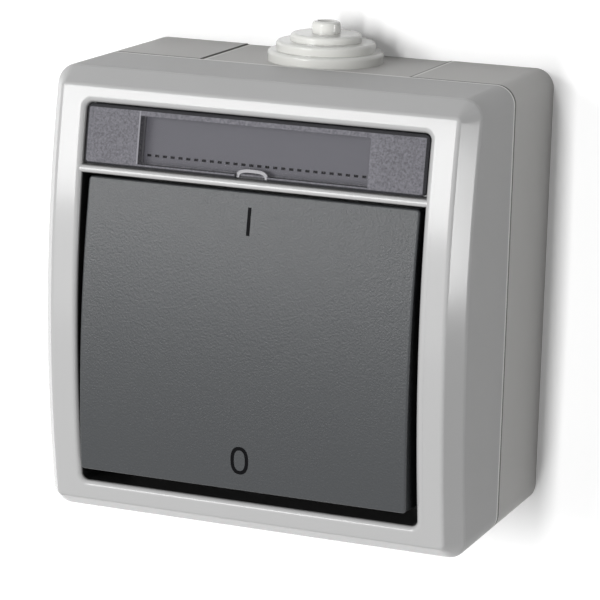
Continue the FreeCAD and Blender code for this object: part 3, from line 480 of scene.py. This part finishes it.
@dataclass(frozen=True)
class SmokedLens:
    """Smoked polycarbonate, clear over the label and spark-eroded round it.

    The zones are sizes on the piece in millimetres: the clear zone's half width, how
    far it stays from the top and bottom edges, the painted highlight line at its left, and the dark
    rim all round. The mottle is how far the frosting's shade goes down and up.
    """

    name: str
    clear_colour: str
    frosted_colour: str
    clear_half_width_mm: float
    clear_top_mm: float
    clear_bottom_mm: float
    highlight_line_mm: float
    highlight_line_colour: str = "#8d8c92"
    rim_mm: float = 0.45
    rim_colour: str = "#3a3a3d"
    sparkle_mm: float = 0.42
    sparkle_height_mm: float = 0.05
    sparkle_low: float = 0.3
    sparkle_high: float = 0.7
    mottle_dark: float = 0.68
    mottle_light: float = 1.4
    frosted_roughness: float = 0.42
    clear_roughness: float = 0.12
    frosted_alpha: float = 0.85
    clear_alpha: float = 0.06
    ior: float = 1.585
    specular: float = 0.15

    def material(self, lowest: Vector, highest: Vector) -> bpy.types.Material:
        """Build the lens's material.

        Args:
            lowest: Lowest corner of the lens's box.
            highest: Highest corner of the lens's box.

        Returns:
            The material, clear inside the window and frosted round it.
        """
        material, tree = blank_material(self.name)
        place = object_place(tree)
        split = add_node(tree, "ShaderNodeSeparateXYZ", {0: place})
        left = -self.clear_half_width_mm * MILLIMETRE
        right = self.clear_half_width_mm * MILLIMETRE
        top = highest.z - self.clear_top_mm * MILLIMETRE
        bottom = lowest.z + self.clear_bottom_mm * MILLIMETRE
        highlight_line_left = left - self.highlight_line_mm * MILLIMETRE
        rim = self.rim_mm * MILLIMETRE
        clearness = self._inside(tree, split, (left, right, bottom, top))
        # A painted highlight: a light line along the step at the clear zone's left edge.
        line = self._inside(tree, split, (highlight_line_left, left, bottom, highest.z))
        within = self._inside(
            tree,
            split,
            (lowest.x + rim, highest.x - rim, lowest.z + rim, highest.z - rim),
        )
        sparkle = add_node(
            tree,
            "ShaderNodeTexNoise",
            {
                "Vector": place,
                "Scale": per_metre(self.sparkle_mm),
                "Detail": 2.0,
                "Roughness": 0.7,
            },
        )
        colour = self._mottled(tree, sparkle)
        for share, other in (
            (line, self.highlight_line_colour),
            (clearness, self.clear_colour),
            (self._outside(tree, within), self.rim_colour),
        ):
            colour = mixed(tree, share, colour, linear(other))
        roughness = mapped(
            tree, clearness, target=(self.frosted_roughness, self.clear_roughness)
        )
        alpha = mapped(tree, clearness, target=(self.frosted_alpha, self.clear_alpha))
        pits = calculated(
            tree, "MULTIPLY", sparkle.outputs["Fac"], self._outside(tree, clearness)
        )
        shader = add_node(
            tree,
            "ShaderNodeBsdfPrincipled",
            {
                "Base Color": colour,
                "Roughness": roughness,
                "Alpha": alpha,
                "Normal": bumped(tree, pits, self.sparkle_height_mm),
                "IOR": self.ior,
                "Specular IOR Level": self.specular,
            },
        )
        add_node(tree, "ShaderNodeOutputMaterial", {"Surface": shader.outputs["BSDF"]})
        return material

    def _mottled(
        self, tree: bpy.types.NodeTree, sparkle: bpy.types.Node
    ) -> bpy.types.NodeSocket:
        """Vary the frosting's colour with its sparkle.

        Args:
            tree: The material's node tree.
            sparkle: The noise that stands for the tool's pits.

        Returns:
            The frosting's colour.
        """
        speckle = mapped(
            tree, sparkle.outputs["Fac"], source=(self.sparkle_low, self.sparkle_high)
        )
        frosted = linear(self.frosted_colour)
        return mixed(
            tree,
            speckle,
            scaled(frosted, self.mottle_dark),
            scaled(frosted, self.mottle_light),
        )

    def _outside(
        self, tree: bpy.types.NodeTree, value: bpy.types.NodeSocket
    ) -> bpy.types.NodeSocket:
        """Return 1 minus a socket's value."""
        return calculated(tree, "SUBTRACT", 1.0, value)

    def _inside(
        self,
        tree: bpy.types.NodeTree,
        split: bpy.types.Node,
        limits: tuple[float, float, float, float],
    ) -> bpy.types.NodeSocket:
        """Test whether a point lies between two places across and two heights.

        Args:
            tree: The material's node tree.
            split: The node that splits the point's place into its three parts.
            limits: The left, right, bottom and top of the zone, in metres.

        Returns:
            1 inside the zone and 0 elsewhere.
        """
        left, right, bottom, top = limits
        tests = (
            ("X", "GREATER_THAN", left),
            ("X", "LESS_THAN", right),
            ("Z", "GREATER_THAN", bottom),
            ("Z", "LESS_THAN", top),
        )
        result = None
        for axis, operation, limit in tests:
            test = calculated(tree, operation, split.outputs[axis], limit)
            if result is None:
                result = test
            else:
                result = calculated(tree, "MULTIPLY", result, test)
        return result


@dataclass(frozen=True)
class StampedMetal:
    """Strip, sheet or wire: a metal with its drawn or plated surface.

    The streaks repeat as given along X, and are stretched along Y and Z. Their gloss
    varies between two shares of the roughness.
    """

    name: str
    colour: str
    roughness: float
    streak_mm: float = 0.25
    streak_height_mm: float = 0.003
    stretch: float = 0.15
    glossiest: float = 0.8
    dullest: float = 1.25

    def material(self) -> bpy.types.Material:
        """Build the material, with fine streaks in one direction.

        Returns:
            The new material.
        """
        material, tree = blank_material(self.name)
        place = object_place(tree)
        stretched = add_node(
            tree,
            "ShaderNodeMapping",
            {"Vector": place, "Scale": (1.0, self.stretch, self.stretch)},
        )
        streaks = add_node(
            tree,
            "ShaderNodeTexNoise",
            {"Vector": stretched.outputs[0], "Scale": per_metre(self.streak_mm), "Detail": 4.0},
        )
        gloss = mapped(
            tree,
            streaks.outputs["Fac"],
            target=(self.roughness * self.glossiest, self.roughness * self.dullest),
        )
        shader = add_node(
            tree,
            "ShaderNodeBsdfPrincipled",
            {
                "Base Color": linear(self.colour),
                "Metallic": 1.0,
                "Roughness": gloss,
                "Normal": bumped(tree, streaks.outputs["Fac"], self.streak_height_mm),
            },
        )
        add_node(tree, "ShaderNodeOutputMaterial", {"Surface": shader.outputs["BSDF"]})
        return material


# Along Y, where the cover meets the box.
PARTING_MM = -22.5
# Along X, where the cable entry plate's sides meet the box, and how far from that joint the
# rounded edge beside it carries a painted highlight.
PLATE_SIDE_MM = 20.12
PLATE_EDGE_MM = 0.6
# The height above which a point is in the box's top wall.
BOX_TOP_MM = 38.5

# Light grey ASA, injection moulded in a polished tool: a clean, glossy skin that mirrors the lamps.
COVER_ASA = MouldedPlastic(
    "asa_polished_light_grey",
    "#acacac",
    Grain.POLISHED,
    roughness=0.15,
    ior=1.55,
    side_roughness=0.5,
    # A painted highlight on the rounded rim at the parting line.
    joints=(PaintedJointLine("Y", PARTING_MM, "#f2f2f0", full=0.6, gone=0.95),),
    # Painted shade in the rocker's well.
    well=PaintedWellShade(half_width=34.0, bottom=-34.6, top=22.6),
)
# The same ASA from a finely blasted tool: satin, so that it only shows soft reflections.
BOX_ASA = MouldedPlastic(
    "asa_satin_light_grey",
    "#bab9b7",
    Grain.FINE_MATT,
    roughness=0.5,
    ior=1.5,
    joints=(
        *(
            # Painted highlights on the rounded edges beside the plate's joints.
            PaintedJointLine("X", side + PLATE_EDGE_MM, "#dededb", full=0.1, gone=0.3, above=BOX_TOP_MM)
            for side in (-PLATE_SIDE_MM, PLATE_SIDE_MM)
        ),
        *(
            # Painted shade in the gaps at the plate's sides.
            PaintedJointLine("X", side, "#55554f", above=BOX_TOP_MM)
            for side in (-PLATE_SIDE_MM, PLATE_SIDE_MM)
        ),
        # Painted shade in the groove where the cover meets the box.
        PaintedJointLine("Y", PARTING_MM, "#4e4e49", full=0.35, gone=0.6),
    ),
)
# Thermoplastic elastomer, moulded: slightly waxy and glossy, a little paler than the box.
MEMBRANE_TPE = MouldedPlastic(
    "tpe_moulded_pale_grey",
    "#d9d9d5",
    Grain.POLISHED,
    roughness=0.08,
    ior=1.52,
    translucency=0.04,
)
# Nitrile sealing rubber, moulded: black and dull.
SEAL_NBR = MouldedPlastic(
    "nitrile_rubber_black",
    "#1d1d1d",
    Grain.FINE_MATT,
    roughness=0.7,
    ior=1.52,
)
# Graphite ABS from a spark-eroded tool: a fine pebble grain that scatters the lamps.
ROCKER_ABS = MouldedPlastic(
    "abs_spark_eroded_graphite",
    "#3a3c3e",
    Grain.SPARK_ERODED,
    roughness=0.32,
    specular=0.4,
)
# Acetal, moulded: milky white with low friction and a soft gloss.
CRADLE_POM = MouldedPlastic(
    "acetal_moulded_white",
    "#e2e0d8",
    Grain.POLISHED,
    roughness=0.35,
    ior=1.48,
)
# Urea thermoset, compression moulded: hard, off-white and slightly glossy.
INSERT_UREA = MouldedPlastic(
    "urea_thermoset_off_white",
    "#d6d2c6",
    Grain.POLISHED,
    roughness=0.3,
    ior=1.55,
)
# Polyester film, extruded: an even dull grey behind the lens.
CARD_FILM = MouldedPlastic(
    "polyester_film_grey",
    "#504f56",
    Grain.FINE_MATT,
    roughness=0.6,
    ior=1.6,
)
# Screen ink, printed and cured: near black and almost without gloss.
SCREEN_INK = MouldedPlastic(
    "screen_ink_black",
    "#0a0a0c",
    Grain.FINE_MATT,
    roughness=0.5,
    specular=0.05,
)
# Smoked polycarbonate, moulded: clear and glossy over the label, frosted and sparkling round it.
LENS_PC = SmokedLens(
    "polycarbonate_smoked",
    clear_colour="#4c4b52",
    frosted_colour="#68676d",
    clear_half_width_mm=21.6,
    clear_top_mm=1.3,
    clear_bottom_mm=0.75,
    # Width of the painted highlight along the clear zone's left step.
    highlight_line_mm=0.3,
)
# The same polycarbonate, paler: a light rim laid round the fingernail notch as a painted highlight.
NOTCH_HIGHLIGHT_PC = MouldedPlastic(
    "polycarbonate_notch_painted_highlight",
    "#717075",
    Grain.FINE_MATT,
    roughness=0.3,
    ior=1.585,
)
# Spring steel wire, cold drawn: dull silver with fine lines.
SPRING_WIRE = StampedMetal("spring_steel_drawn", "#9a9a9c", roughness=0.3)
# Brass strip, stamped: warm and bright.
CONTACT_BRASS = StampedMetal("brass_stamped", "#c9a25c", roughness=0.28)
# Steel sheet and screws, zinc plated and passivated: pale, bluish and softly streaked.
ZINC_STEEL = StampedMetal("steel_zinc_plated", "#b9bcbd", roughness=0.3, streak_mm=0.6)


def dress(node: str, material: bpy.types.Material) -> None:
    """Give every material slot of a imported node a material.

    Args:
        node: The node's name.
        material: The material that it takes.
    """
    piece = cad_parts[node]
    if not piece.material_slots:
        piece.data.materials.append(material)
    for slot in piece.material_slots:
        slot.material = material
    LOG.info("%s wears %s", node, material.name)


@dataclass
class Housing:
    """The back box, the cable entry with its membrane, the cover and their seals."""

    satin_nodes: tuple[str, ...] = ("back_box", "cable_entry_plate")
    glossy_nodes: tuple[str, ...] = ("front_cover",)
    membrane_nodes: tuple[str, ...] = ("cable_grommet",)
    seal_nodes: tuple[str, ...] = ("rim_seal", "rocker_seal")

    def build(self) -> None:
        """Dress the housing's moulded pieces."""
        groups = (
            (self.satin_nodes, BOX_ASA),
            (self.glossy_nodes, COVER_ASA),
            (self.membrane_nodes, MEMBRANE_TPE),
            (self.seal_nodes, SEAL_NBR),
        )
        for nodes, finish in groups:
            material = finish.material()
            for node in nodes:
                dress(node, material)


@dataclass
class OpeningLip:
    """The moulded rim that rounds both sides of the cover's opening along its arch.

    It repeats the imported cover's rounded edge in finer steps. Sizes are in millimetres:
    the opening's half width, the rim's ends, the rounding, how far the rim stands proud
    of the cover and is sunk in it, and how far it runs on past the rounding.
    """

    half_width_mm: float = 32.3
    bottom_mm: float = -33.2
    top_mm: float = 33.7
    round_mm: float = 1.0
    proud_mm: float = 0.012
    sunk_mm: float = 0.1
    run_on_mm: float = 0.35
    round_steps: int = 10
    height_steps: int = 120
    crease_deg: float = 40.0

    def build(self) -> None:
        """Lay a rim on each side of the opening."""
        for name, side in (("front_cover_lip_left", -1), ("front_cover_lip_right", 1)):
            self._rim(name, side)

    def _profile(self) -> list[Point]:
        """Draw the rim's section, its outer side first and then its inner side back.

        Returns:
            For each point, how far out from the wall and how deep below the face it lies.
        """
        ends = []
        for radius in (self.round_mm + self.proud_mm, self.round_mm - self.sunk_mm):
            line = [(self.round_mm - radius, self.round_mm + self.run_on_mm)]
            for step in range(self.round_steps + 1):
                angle = math.pi / 2 * step / self.round_steps
                line.append(
                    (
                        self.round_mm - radius * math.cos(angle),
                        self.round_mm - radius * math.sin(angle),
                    )
                )
            line.append((self.round_mm + self.run_on_mm, self.round_mm - radius))
            ends.append(line)
        return ends[0] + ends[1][::-1]

    def _rim(self, name: str, side: int) -> None:
        """Build one rim.

        Args:
            name: The piece's name.
            side: -1 for the left side and 1 for the right.
        """
        profile = self._profile()
        mesh = bpy.data.meshes.new(name)
        mesh.from_pydata(self._points(profile, side), [], self._faces(len(profile)))
        mesh.validate()
        skin = bmesh.new()
        skin.from_mesh(mesh)
        bmesh.ops.recalc_face_normals(skin, faces=skin.faces)
        for face in skin.faces:
            face.smooth = True
        skin.to_mesh(mesh)
        skin.free()
        mesh.set_sharp_from_angle(angle=math.radians(self.crease_deg))
        mesh.materials.append(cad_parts["front_cover"].material_slots[0].material)
        piece = bpy.data.objects.new(name, mesh)
        bpy.context.scene.collection.objects.link(piece)
        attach(piece, "housing")
        LOG.info("%s laid along the opening", name)

    def _points(self, profile: list[Point], side: int) -> list[Vector]:
        """Repeat the section along the arch.

        Args:
            profile: The section's points.
            side: -1 for the left side and 1 for the right.

        Returns:
            The rim's points, one section after the other from the bottom up.
        """
        arch_mm = (ARCH_HALF_HEIGHT_MM**2 + ARCH_RISE_MM**2) / (2 * ARCH_RISE_MM)
        low = math.asin(self.bottom_mm / arch_mm)
        high = math.asin(self.top_mm / arch_mm)
        axis_mm = CREST_MM - arch_mm
        points = []
        for step in range(self.height_steps + 1):
            turn = low + (high - low) * step / self.height_steps
            for outwards, depth in profile:
                radius = arch_mm - depth
                place = Vector(
                    (
                        side * (self.half_width_mm + outwards),
                        -(axis_mm + radius * math.cos(turn)),
                        radius * math.sin(turn),
                    )
                )
                points.append(place * MILLIMETRE)
        return points

    def _faces(self, count: int) -> list[list[int]]:
        """Join the sections and close both ends.

        Args:
            count: How many points a section has.

        Returns:
            The corners of each face.
        """
        faces = []
        for step in range(self.height_steps):
            for spot in range(count):
                here = step * count + spot
                ahead = step * count + (spot + 1) % count
                faces.append([here, ahead, ahead + count, here + count])
        for foot in (0, self.height_steps * count):
            for spot in range(count // 2 - 1):
                far = count - 1 - spot
                faces.append([foot + spot, foot + spot + 1, foot + far - 1, foot + far])
        return faces


@dataclass
class Stroke:
    """A stroke of a layer: pairs of edge points in millimetres, across and up."""

    pairs: list[tuple[Point, Point]]
    closed: bool = False


@dataclass
class Layer:
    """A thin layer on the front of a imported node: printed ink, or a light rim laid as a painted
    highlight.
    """

    name: str
    node: str
    body: str
    strokes: list[Stroke]
    thickness_mm: float = 0.02
    sunk_mm: float = 0.02
    probe_from: float = -0.2

    def build(self, material: bpy.types.Material, slot: str) -> None:
        """Lay the strokes on the node's front and dress them.

        Args:
            material: The material of the layer.
            slot: The record's material slot that the layer belongs to. Not used.
        """
        points: list[Vector] = []
        faces: list[list[int]] = []
        for stroke in self.strokes:
            self._add_stroke(stroke, points, faces)
        mesh = bpy.data.meshes.new(self.name)
        mesh.from_pydata(points, [], faces)
        mesh.validate()
        mesh.materials.append(material)
        piece = bpy.data.objects.new(self.name, mesh)
        bpy.context.scene.collection.objects.link(piece)
        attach(piece, self.body)
        LOG.info("%s laid on %s", self.name, self.node)

    def _add_stroke(self, stroke: Stroke, points: list[Vector], faces: list[list[int]]) -> None:
        """Add one stroke's front, back and rim.

        Args:
            stroke: The pairs of edge points.
            points: The mesh's points, which the stroke's are added to.
            faces: The mesh's faces, likewise.
        """
        first = len(points)
        for left, right in stroke.pairs:
            for across, up in (left, right):
                touch, outward = self._touch(across, up)
                points.append(touch + outward * self.thickness_mm * MILLIMETRE)
                points.append(touch - outward * self.sunk_mm * MILLIMETRE)
        count = len(stroke.pairs)
        corners = (len(points) - first) // count
        spans = count if stroke.closed else count - 1
        for span in range(spans):
            here = first + corners * span
            ahead = first + corners * ((span + 1) % count)
            faces.append([here, here + 2, ahead + 2, ahead])
            faces.append([here + 1, ahead + 1, ahead + 3, here + 3])
            faces.append([here, ahead, ahead + 1, here + 1])
            faces.append([here + 2, here + 3, ahead + 3, ahead + 2])
        if not stroke.closed:
            last = first + corners * (count - 1)
            faces.append([first, first + 1, first + 3, first + 2])
            faces.append([last, last + 2, last + 3, last + 1])

    def _touch(self, across_mm: float, up_mm: float) -> tuple[Vector, Vector]:
        """Look from well in front of the wall for the node's front.

        Args:
            across_mm: The place across, in millimetres.
            up_mm: The place up, in millimetres.

        Returns:
            The point that is met, and the outward normal there.
        """
        start = Vector((across_mm * MILLIMETRE, self.probe_from, up_mm * MILLIMETRE))
        hit, point, normal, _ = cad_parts[self.node].ray_cast(start, Vector((0.0, 1.0, 0.0)))
        if not hit:
            raise RuntimeError(f"{self.name} misses {self.node} at {across_mm}, {up_mm}")
        return point, normal


@dataclass
class LabelWindow:
    """The smoked lens and the card with its dashed line behind it."""

    dash_count: int = 30
    dash_pitch_mm: float = 1.5
    dash_length_mm: float = 0.8
    dash_width_mm: float = 0.45
    first_dash_mm: float = -22.4
    dash_height_mm: float = 26.2
    notch_middle_mm: float = 0.0
    notch_foot_mm: float = 24.3
    notch_half_width_mm: float = 2.4
    notch_rise_mm: float = 0.95
    notch_rim_mm: float = 0.55
    notch_squareness: float = 3.0
    notch_steps: int = 24

    def build(self, ink: bpy.types.Material) -> None:
        """Dress lens and card, print the dashes and lay the notch's rim, a painted highlight.

        Args:
            ink: The material of the dashes.
        """
        lowest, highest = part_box("label_lens")
        dress("label_lens", LENS_PC.material(Vector(lowest), Vector(highest)))
        dress("label_card", CARD_FILM.material())
        Layer(
            "label_card_dashes",
            "label_card",
            "housing",
            [self._dash(index) for index in range(self.dash_count)],
        ).build(ink, "label_card")
        # A light rim laid on the lens as a painted highlight round the notch.
        Layer(
            "label_lens_notch_painted_highlight",
            "label_lens",
            "label_window",
            [self._notch_rim()],
            thickness_mm=0.25,
        ).build(NOTCH_HIGHLIGHT_PC.material(), "smoked_lens")

    def _notch_rim(self) -> Stroke:
        """Draw the arched rim round the fingernail notch, which carries the painted highlight.

        Returns:
            The rim, from its left foot to its right.
        """
        pairs = []
        power = 2 / self.notch_squareness
        for step in range(self.notch_steps + 1):
            angle = math.pi * (1 - step / self.notch_steps)
            cosine, sine = math.cos(angle), max(math.sin(angle), 0.0)
            ends = []
            for grow in (0.0, self.notch_rim_mm):
                across = (self.notch_half_width_mm + grow) * math.copysign(
                    abs(cosine) ** power, cosine
                )
                up = (self.notch_rise_mm + grow) * sine**power
                ends.append((self.notch_middle_mm + across, self.notch_foot_mm + up))
            pairs.append((ends[0], ends[1]))
        return Stroke(pairs)

    def _dash(self, index: int) -> Stroke:
        """Draw one dash of the line.

        Args:
            index: The dash's number, counted from the left.

        Returns:
            The dash.
        """
        left = self.first_dash_mm + index * self.dash_pitch_mm
        right = left + self.dash_length_mm
        low = self.dash_height_mm - self.dash_width_mm / 2
        high = self.dash_height_mm + self.dash_width_mm / 2
        return Stroke([((left, low), (left, high)), ((right, low), (right, high))])


@dataclass
class RockerCap:
    """The textured rocker with its two printed positions."""

    stroke_mm: float = 0.65
    on_top_mm: float = 19.3
    on_bottom_mm: float = 14.4
    off_middle_mm: float = -25.8
    off_width_mm: float = 3.4
    off_height_mm: float = 5.1
    off_squareness: float = 2.4
    steps: int = 12
    round_steps: int = 64

    def build(self, ink: bpy.types.Material) -> None:
        """Dress the rocker and print its on and off marks.

        Args:
            ink: The material of the marks.
        """
        dress("rocker", ROCKER_ABS.material())
        marks = (("rocker_mark_on", self._on_mark()), ("rocker_mark_off", self._off_mark()))
        for name, stroke in marks:
            Layer(name, "rocker", "rocker_assembly", [stroke]).build(ink, "rocker_graphite")

    def _on_mark(self) -> Stroke:
        """Draw the upright bar that marks the on position.

        Returns:
            The bar, from the bottom up.
        """
        half = self.stroke_mm / 2
        pairs = []
        for step in range(self.steps + 1):
            share = step / self.steps
            up = self.on_bottom_mm + (self.on_top_mm - self.on_bottom_mm) * share
            pairs.append(((-half, up), (half, up)))
        return Stroke(pairs)

    def _off_mark(self) -> Stroke:
        """Draw the upright oval ring that marks the off position.

        Returns:
            The closed ring.
        """
        pairs = []
        for step in range(self.round_steps):
            angle = 2 * math.pi * step / self.round_steps
            outer = self._oval(angle, 0.0)
            inner = self._oval(angle, self.stroke_mm)
            pairs.append((inner, outer))
        return Stroke(pairs, closed=True)

    def _oval(self, angle: float, inset: float) -> Point:
        """Return a point of the ring's outline.

        Args:
            angle: Direction from the ring's middle, in radians.
            inset: How far inside the outer outline the point lies, in millimetres.

        Returns:
            The place across and up, in millimetres.
        """
        power = 2 / self.off_squareness
        cosine, sine = math.cos(angle), math.sin(angle)
        across = (self.off_width_mm / 2 - inset) * math.copysign(abs(cosine) ** power, cosine)
        up = (self.off_height_mm / 2 - inset) * math.copysign(abs(sine) ** power, sine)
        return across, self.off_middle_mm + up


@dataclass
class SwitchInsert:
    """The working pieces behind the cover."""

    groups: dict[str, tuple[str, ...]] = field(
        default_factory=lambda: {
            "acetal": ("rocker_cradle", "plunger_left", "plunger_right"),
            "urea": ("mechanism_body",),
            "spring": ("plunger_spring_left", "plunger_spring_right"),
            "brass": (
                "contact_bridge_left",
                "contact_bridge_right",
                "pivot_terminal_left",
                "pivot_terminal_right",
                "switched_terminal_left",
                "switched_terminal_right",
            ),
            "zinc": (
                "terminal_clamps",
                "terminal_screws",
                "mechanism_frame",
                "frame_screws",
                "cover_screws",
            ),
        }
    )

    def build(self) -> None:
        """Dress each group in its material."""
        finishes = {
            "acetal": CRADLE_POM,
            "urea": INSERT_UREA,
            "spring": SPRING_WIRE,
            "brass": CONTACT_BRASS,
            "zinc": ZINC_STEEL,
        }
        for group, nodes in self.groups.items():
            material = finishes[group].material()
            for node in nodes:
                dress(node, material)


@dataclass
class Softbox:
    """A rectangular lamp, aimed at the switch, that its gloss may or may not mirror."""

    name: str
    place: tuple[float, float, float]
    width: float
    height: float
    power: float
    mirrored: bool = True
    aim: tuple[float, float, float] = (0.0, -0.02, 0.0)

    def build(self) -> None:
        """Add the lamp to the scene."""
        light = bpy.data.lights.new(self.name, "AREA")
        light.shape = "RECTANGLE"
        light.size = self.width
        light.size_y = self.height
        light.energy = self.power
        lamp = bpy.data.objects.new(self.name, light)
        way = Vector(self.aim) - Vector(self.place)
        lamp.matrix_world = (
            Matrix.Translation(self.place) @ way.to_track_quat("-Z", "Y").to_matrix().to_4x4()
        )
        lamp.visible_glossy = self.mirrored
        bpy.context.scene.collection.objects.link(lamp)


@dataclass
class Viewpoint:
    """The camera that took the photograph, as fitted to the box's edges."""

    azimuth_deg: float = 21.68
    elevation_deg: float = 13.03
    roll_deg: float = 1.57
    distance: float = 0.5801
    focal_px: float = 3053.8
    target: tuple[float, float, float] = (-0.00833, 0.0, -0.00743)
    clip_start: float = 0.01
    clip_end: float = 20.0

    def build(self) -> None:
        """Create the camera and make it the scene's."""
        azimuth = math.radians(self.azimuth_deg)
        elevation = math.radians(self.elevation_deg)
        roll = math.radians(self.roll_deg)
        back = Vector(
            (
                math.sin(azimuth) * math.cos(elevation),
                -math.cos(azimuth) * math.cos(elevation),
                math.sin(elevation),
            )
        )
        level = Vector((math.cos(azimuth), math.sin(azimuth), 0.0))
        upright = back.cross(level)
        right = level * math.cos(roll) + upright * math.sin(roll)
        up = upright * math.cos(roll) - level * math.sin(roll)
        data = bpy.data.cameras.new("photograph")
        data.sensor_width = SENSOR_WIDTH_MM
        data.lens = self.focal_px * SENSOR_WIDTH_MM / IMAGE_WIDTH_PX
        data.clip_start = self.clip_start
        data.clip_end = self.clip_end
        camera = bpy.data.objects.new("photograph", data)
        turn = Matrix((right, up, back)).transposed().to_4x4()
        camera.matrix_world = Matrix.Translation(Vector(self.target) + back * self.distance) @ turn
        bpy.context.scene.collection.objects.link(camera)
        bpy.context.scene.camera = camera


@dataclass
class Studio:
    """The white wall that the switch hangs on, the lamps and the camera.

    The lift is a faint glow that takes the lit wall up to white where rays show the
    background. Other rays bounce off the wall as off a greyer paint.
    """

    wall_size: float = 1.6
    wall_place: float = -0.0002
    wall_lift: float = 0.1
    wall_colour: str = "#fbfbfb"
    bounce_colour: str = "#a2a2a2"
    world_strength: float = 0.13
    lamps: tuple[Softbox, ...] = (
        Softbox("front_lamp", (-0.09, -1.99, 0.0), 0.18, 1.2, 31.0, mirrored=False),
        Softbox("key_softbox", (-0.41, -1.01, 0.125), 0.36, 0.28, 2.7),
        Softbox("low_softbox", (-0.41, -1.01, -0.15), 0.36, 0.27, 0.3),
        Softbox("corner_softbox", (-0.63, -0.86, 0.31), 0.2, 0.2, 2.0),
        Softbox("side_softbox", (1.0, -0.06, -0.07), 0.08, 0.22, 0.8),
    )

    def build(self) -> None:
        """Build the wall, the world, the lamps and the camera."""
        self._wall()
        self._world()
        for lamp in self.lamps:
            lamp.build()
        Viewpoint().build()
        bpy.context.scene.view_settings.view_transform = "Standard"

    def _wall(self) -> None:
        """Build the wall, a backdrop that can be seen through from behind."""
        half = self.wall_size / 2
        corners = [
            (-half, self.wall_place, -half),
            (half, self.wall_place, -half),
            (half, self.wall_place, half),
            (-half, self.wall_place, half),
        ]
        mesh = bpy.data.meshes.new("wall")
        mesh.from_pydata(corners, [], [(0, 1, 2, 3)])
        mesh.materials.append(self._wall_paint())
        wall = bpy.data.objects.new("wall", mesh)
        bpy.context.scene.collection.objects.link(wall)

    def _wall_paint(self) -> bpy.types.Material:
        """Mix matt white emulsion paint, lifted to white where nothing shades it.

        Returns:
            The wall's material, clear from behind.
        """
        material, tree = blank_material("emulsion_matt_white")
        side = add_node(tree, "ShaderNodeNewGeometry")
        seen = self._seen(tree)
        lift = calculated(tree, "MULTIPLY", seen, self.wall_lift)
        shade = mixed(tree, seen, linear(self.bounce_colour), linear(self.wall_colour))
        paint = add_node(tree, "ShaderNodeBsdfDiffuse", {"Color": shade})
        glow = add_node(tree, "ShaderNodeEmission", {"Color": WHITE, "Strength": lift})
        front = add_node(tree, "ShaderNodeAddShader", {0: paint.outputs[0], 1: glow.outputs[0]})
        clear = add_node(tree, "ShaderNodeBsdfTransparent")
        both = add_node(
            tree,
            "ShaderNodeMixShader",
            {0: side.outputs["Backfacing"], 1: front.outputs[0], 2: clear.outputs[0]},
        )
        add_node(tree, "ShaderNodeOutputMaterial", {"Surface": both.outputs[0]})
        return material

    def _seen(self, tree: bpy.types.NodeTree) -> bpy.types.NodeSocket:
        """Find the rays that show the background, which metal and glass show too.

        Args:
            tree: The node tree of the wall's paint or of the world.

        Returns:
            1 for the camera's rays, mirrored ones and those through glass, otherwise 0.
        """
        rays = add_node(tree, "ShaderNodeLightPath")
        seen = rays.outputs["Is Camera Ray"]
        for kind in ("Is Glossy Ray", "Is Transmission Ray"):
            seen = calculated(tree, "MAXIMUM", seen, rays.outputs[kind])
        return seen

    def _world(self) -> None:
        """Fill the room with an even light, and white where rays look past the wall."""
        world = bpy.data.worlds.new("room")
        world.use_nodes = True
        tree = world.node_tree
        tree.nodes.clear()
        strength = mapped(tree, self._seen(tree), target=(self.world_strength, 1.0))
        room = add_node(tree, "ShaderNodeBackground", {"Color": WHITE, "Strength": strength})
        add_node(tree, "ShaderNodeOutputWorld", {"Surface": room.outputs[0]})
        bpy.context.scene.world = world


def main() -> None:
    """Build the dressed switch and its studio."""
    logging.basicConfig(level=logging.INFO, format="%(message)s")
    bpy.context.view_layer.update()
    ink = SCREEN_INK.material()
    Housing().build()
    OpeningLip().build()
    LabelWindow().build(ink)
    RockerCap().build(ink)
    SwitchInsert().build()
    Studio().build()


if __name__ == "__main__":
    main()
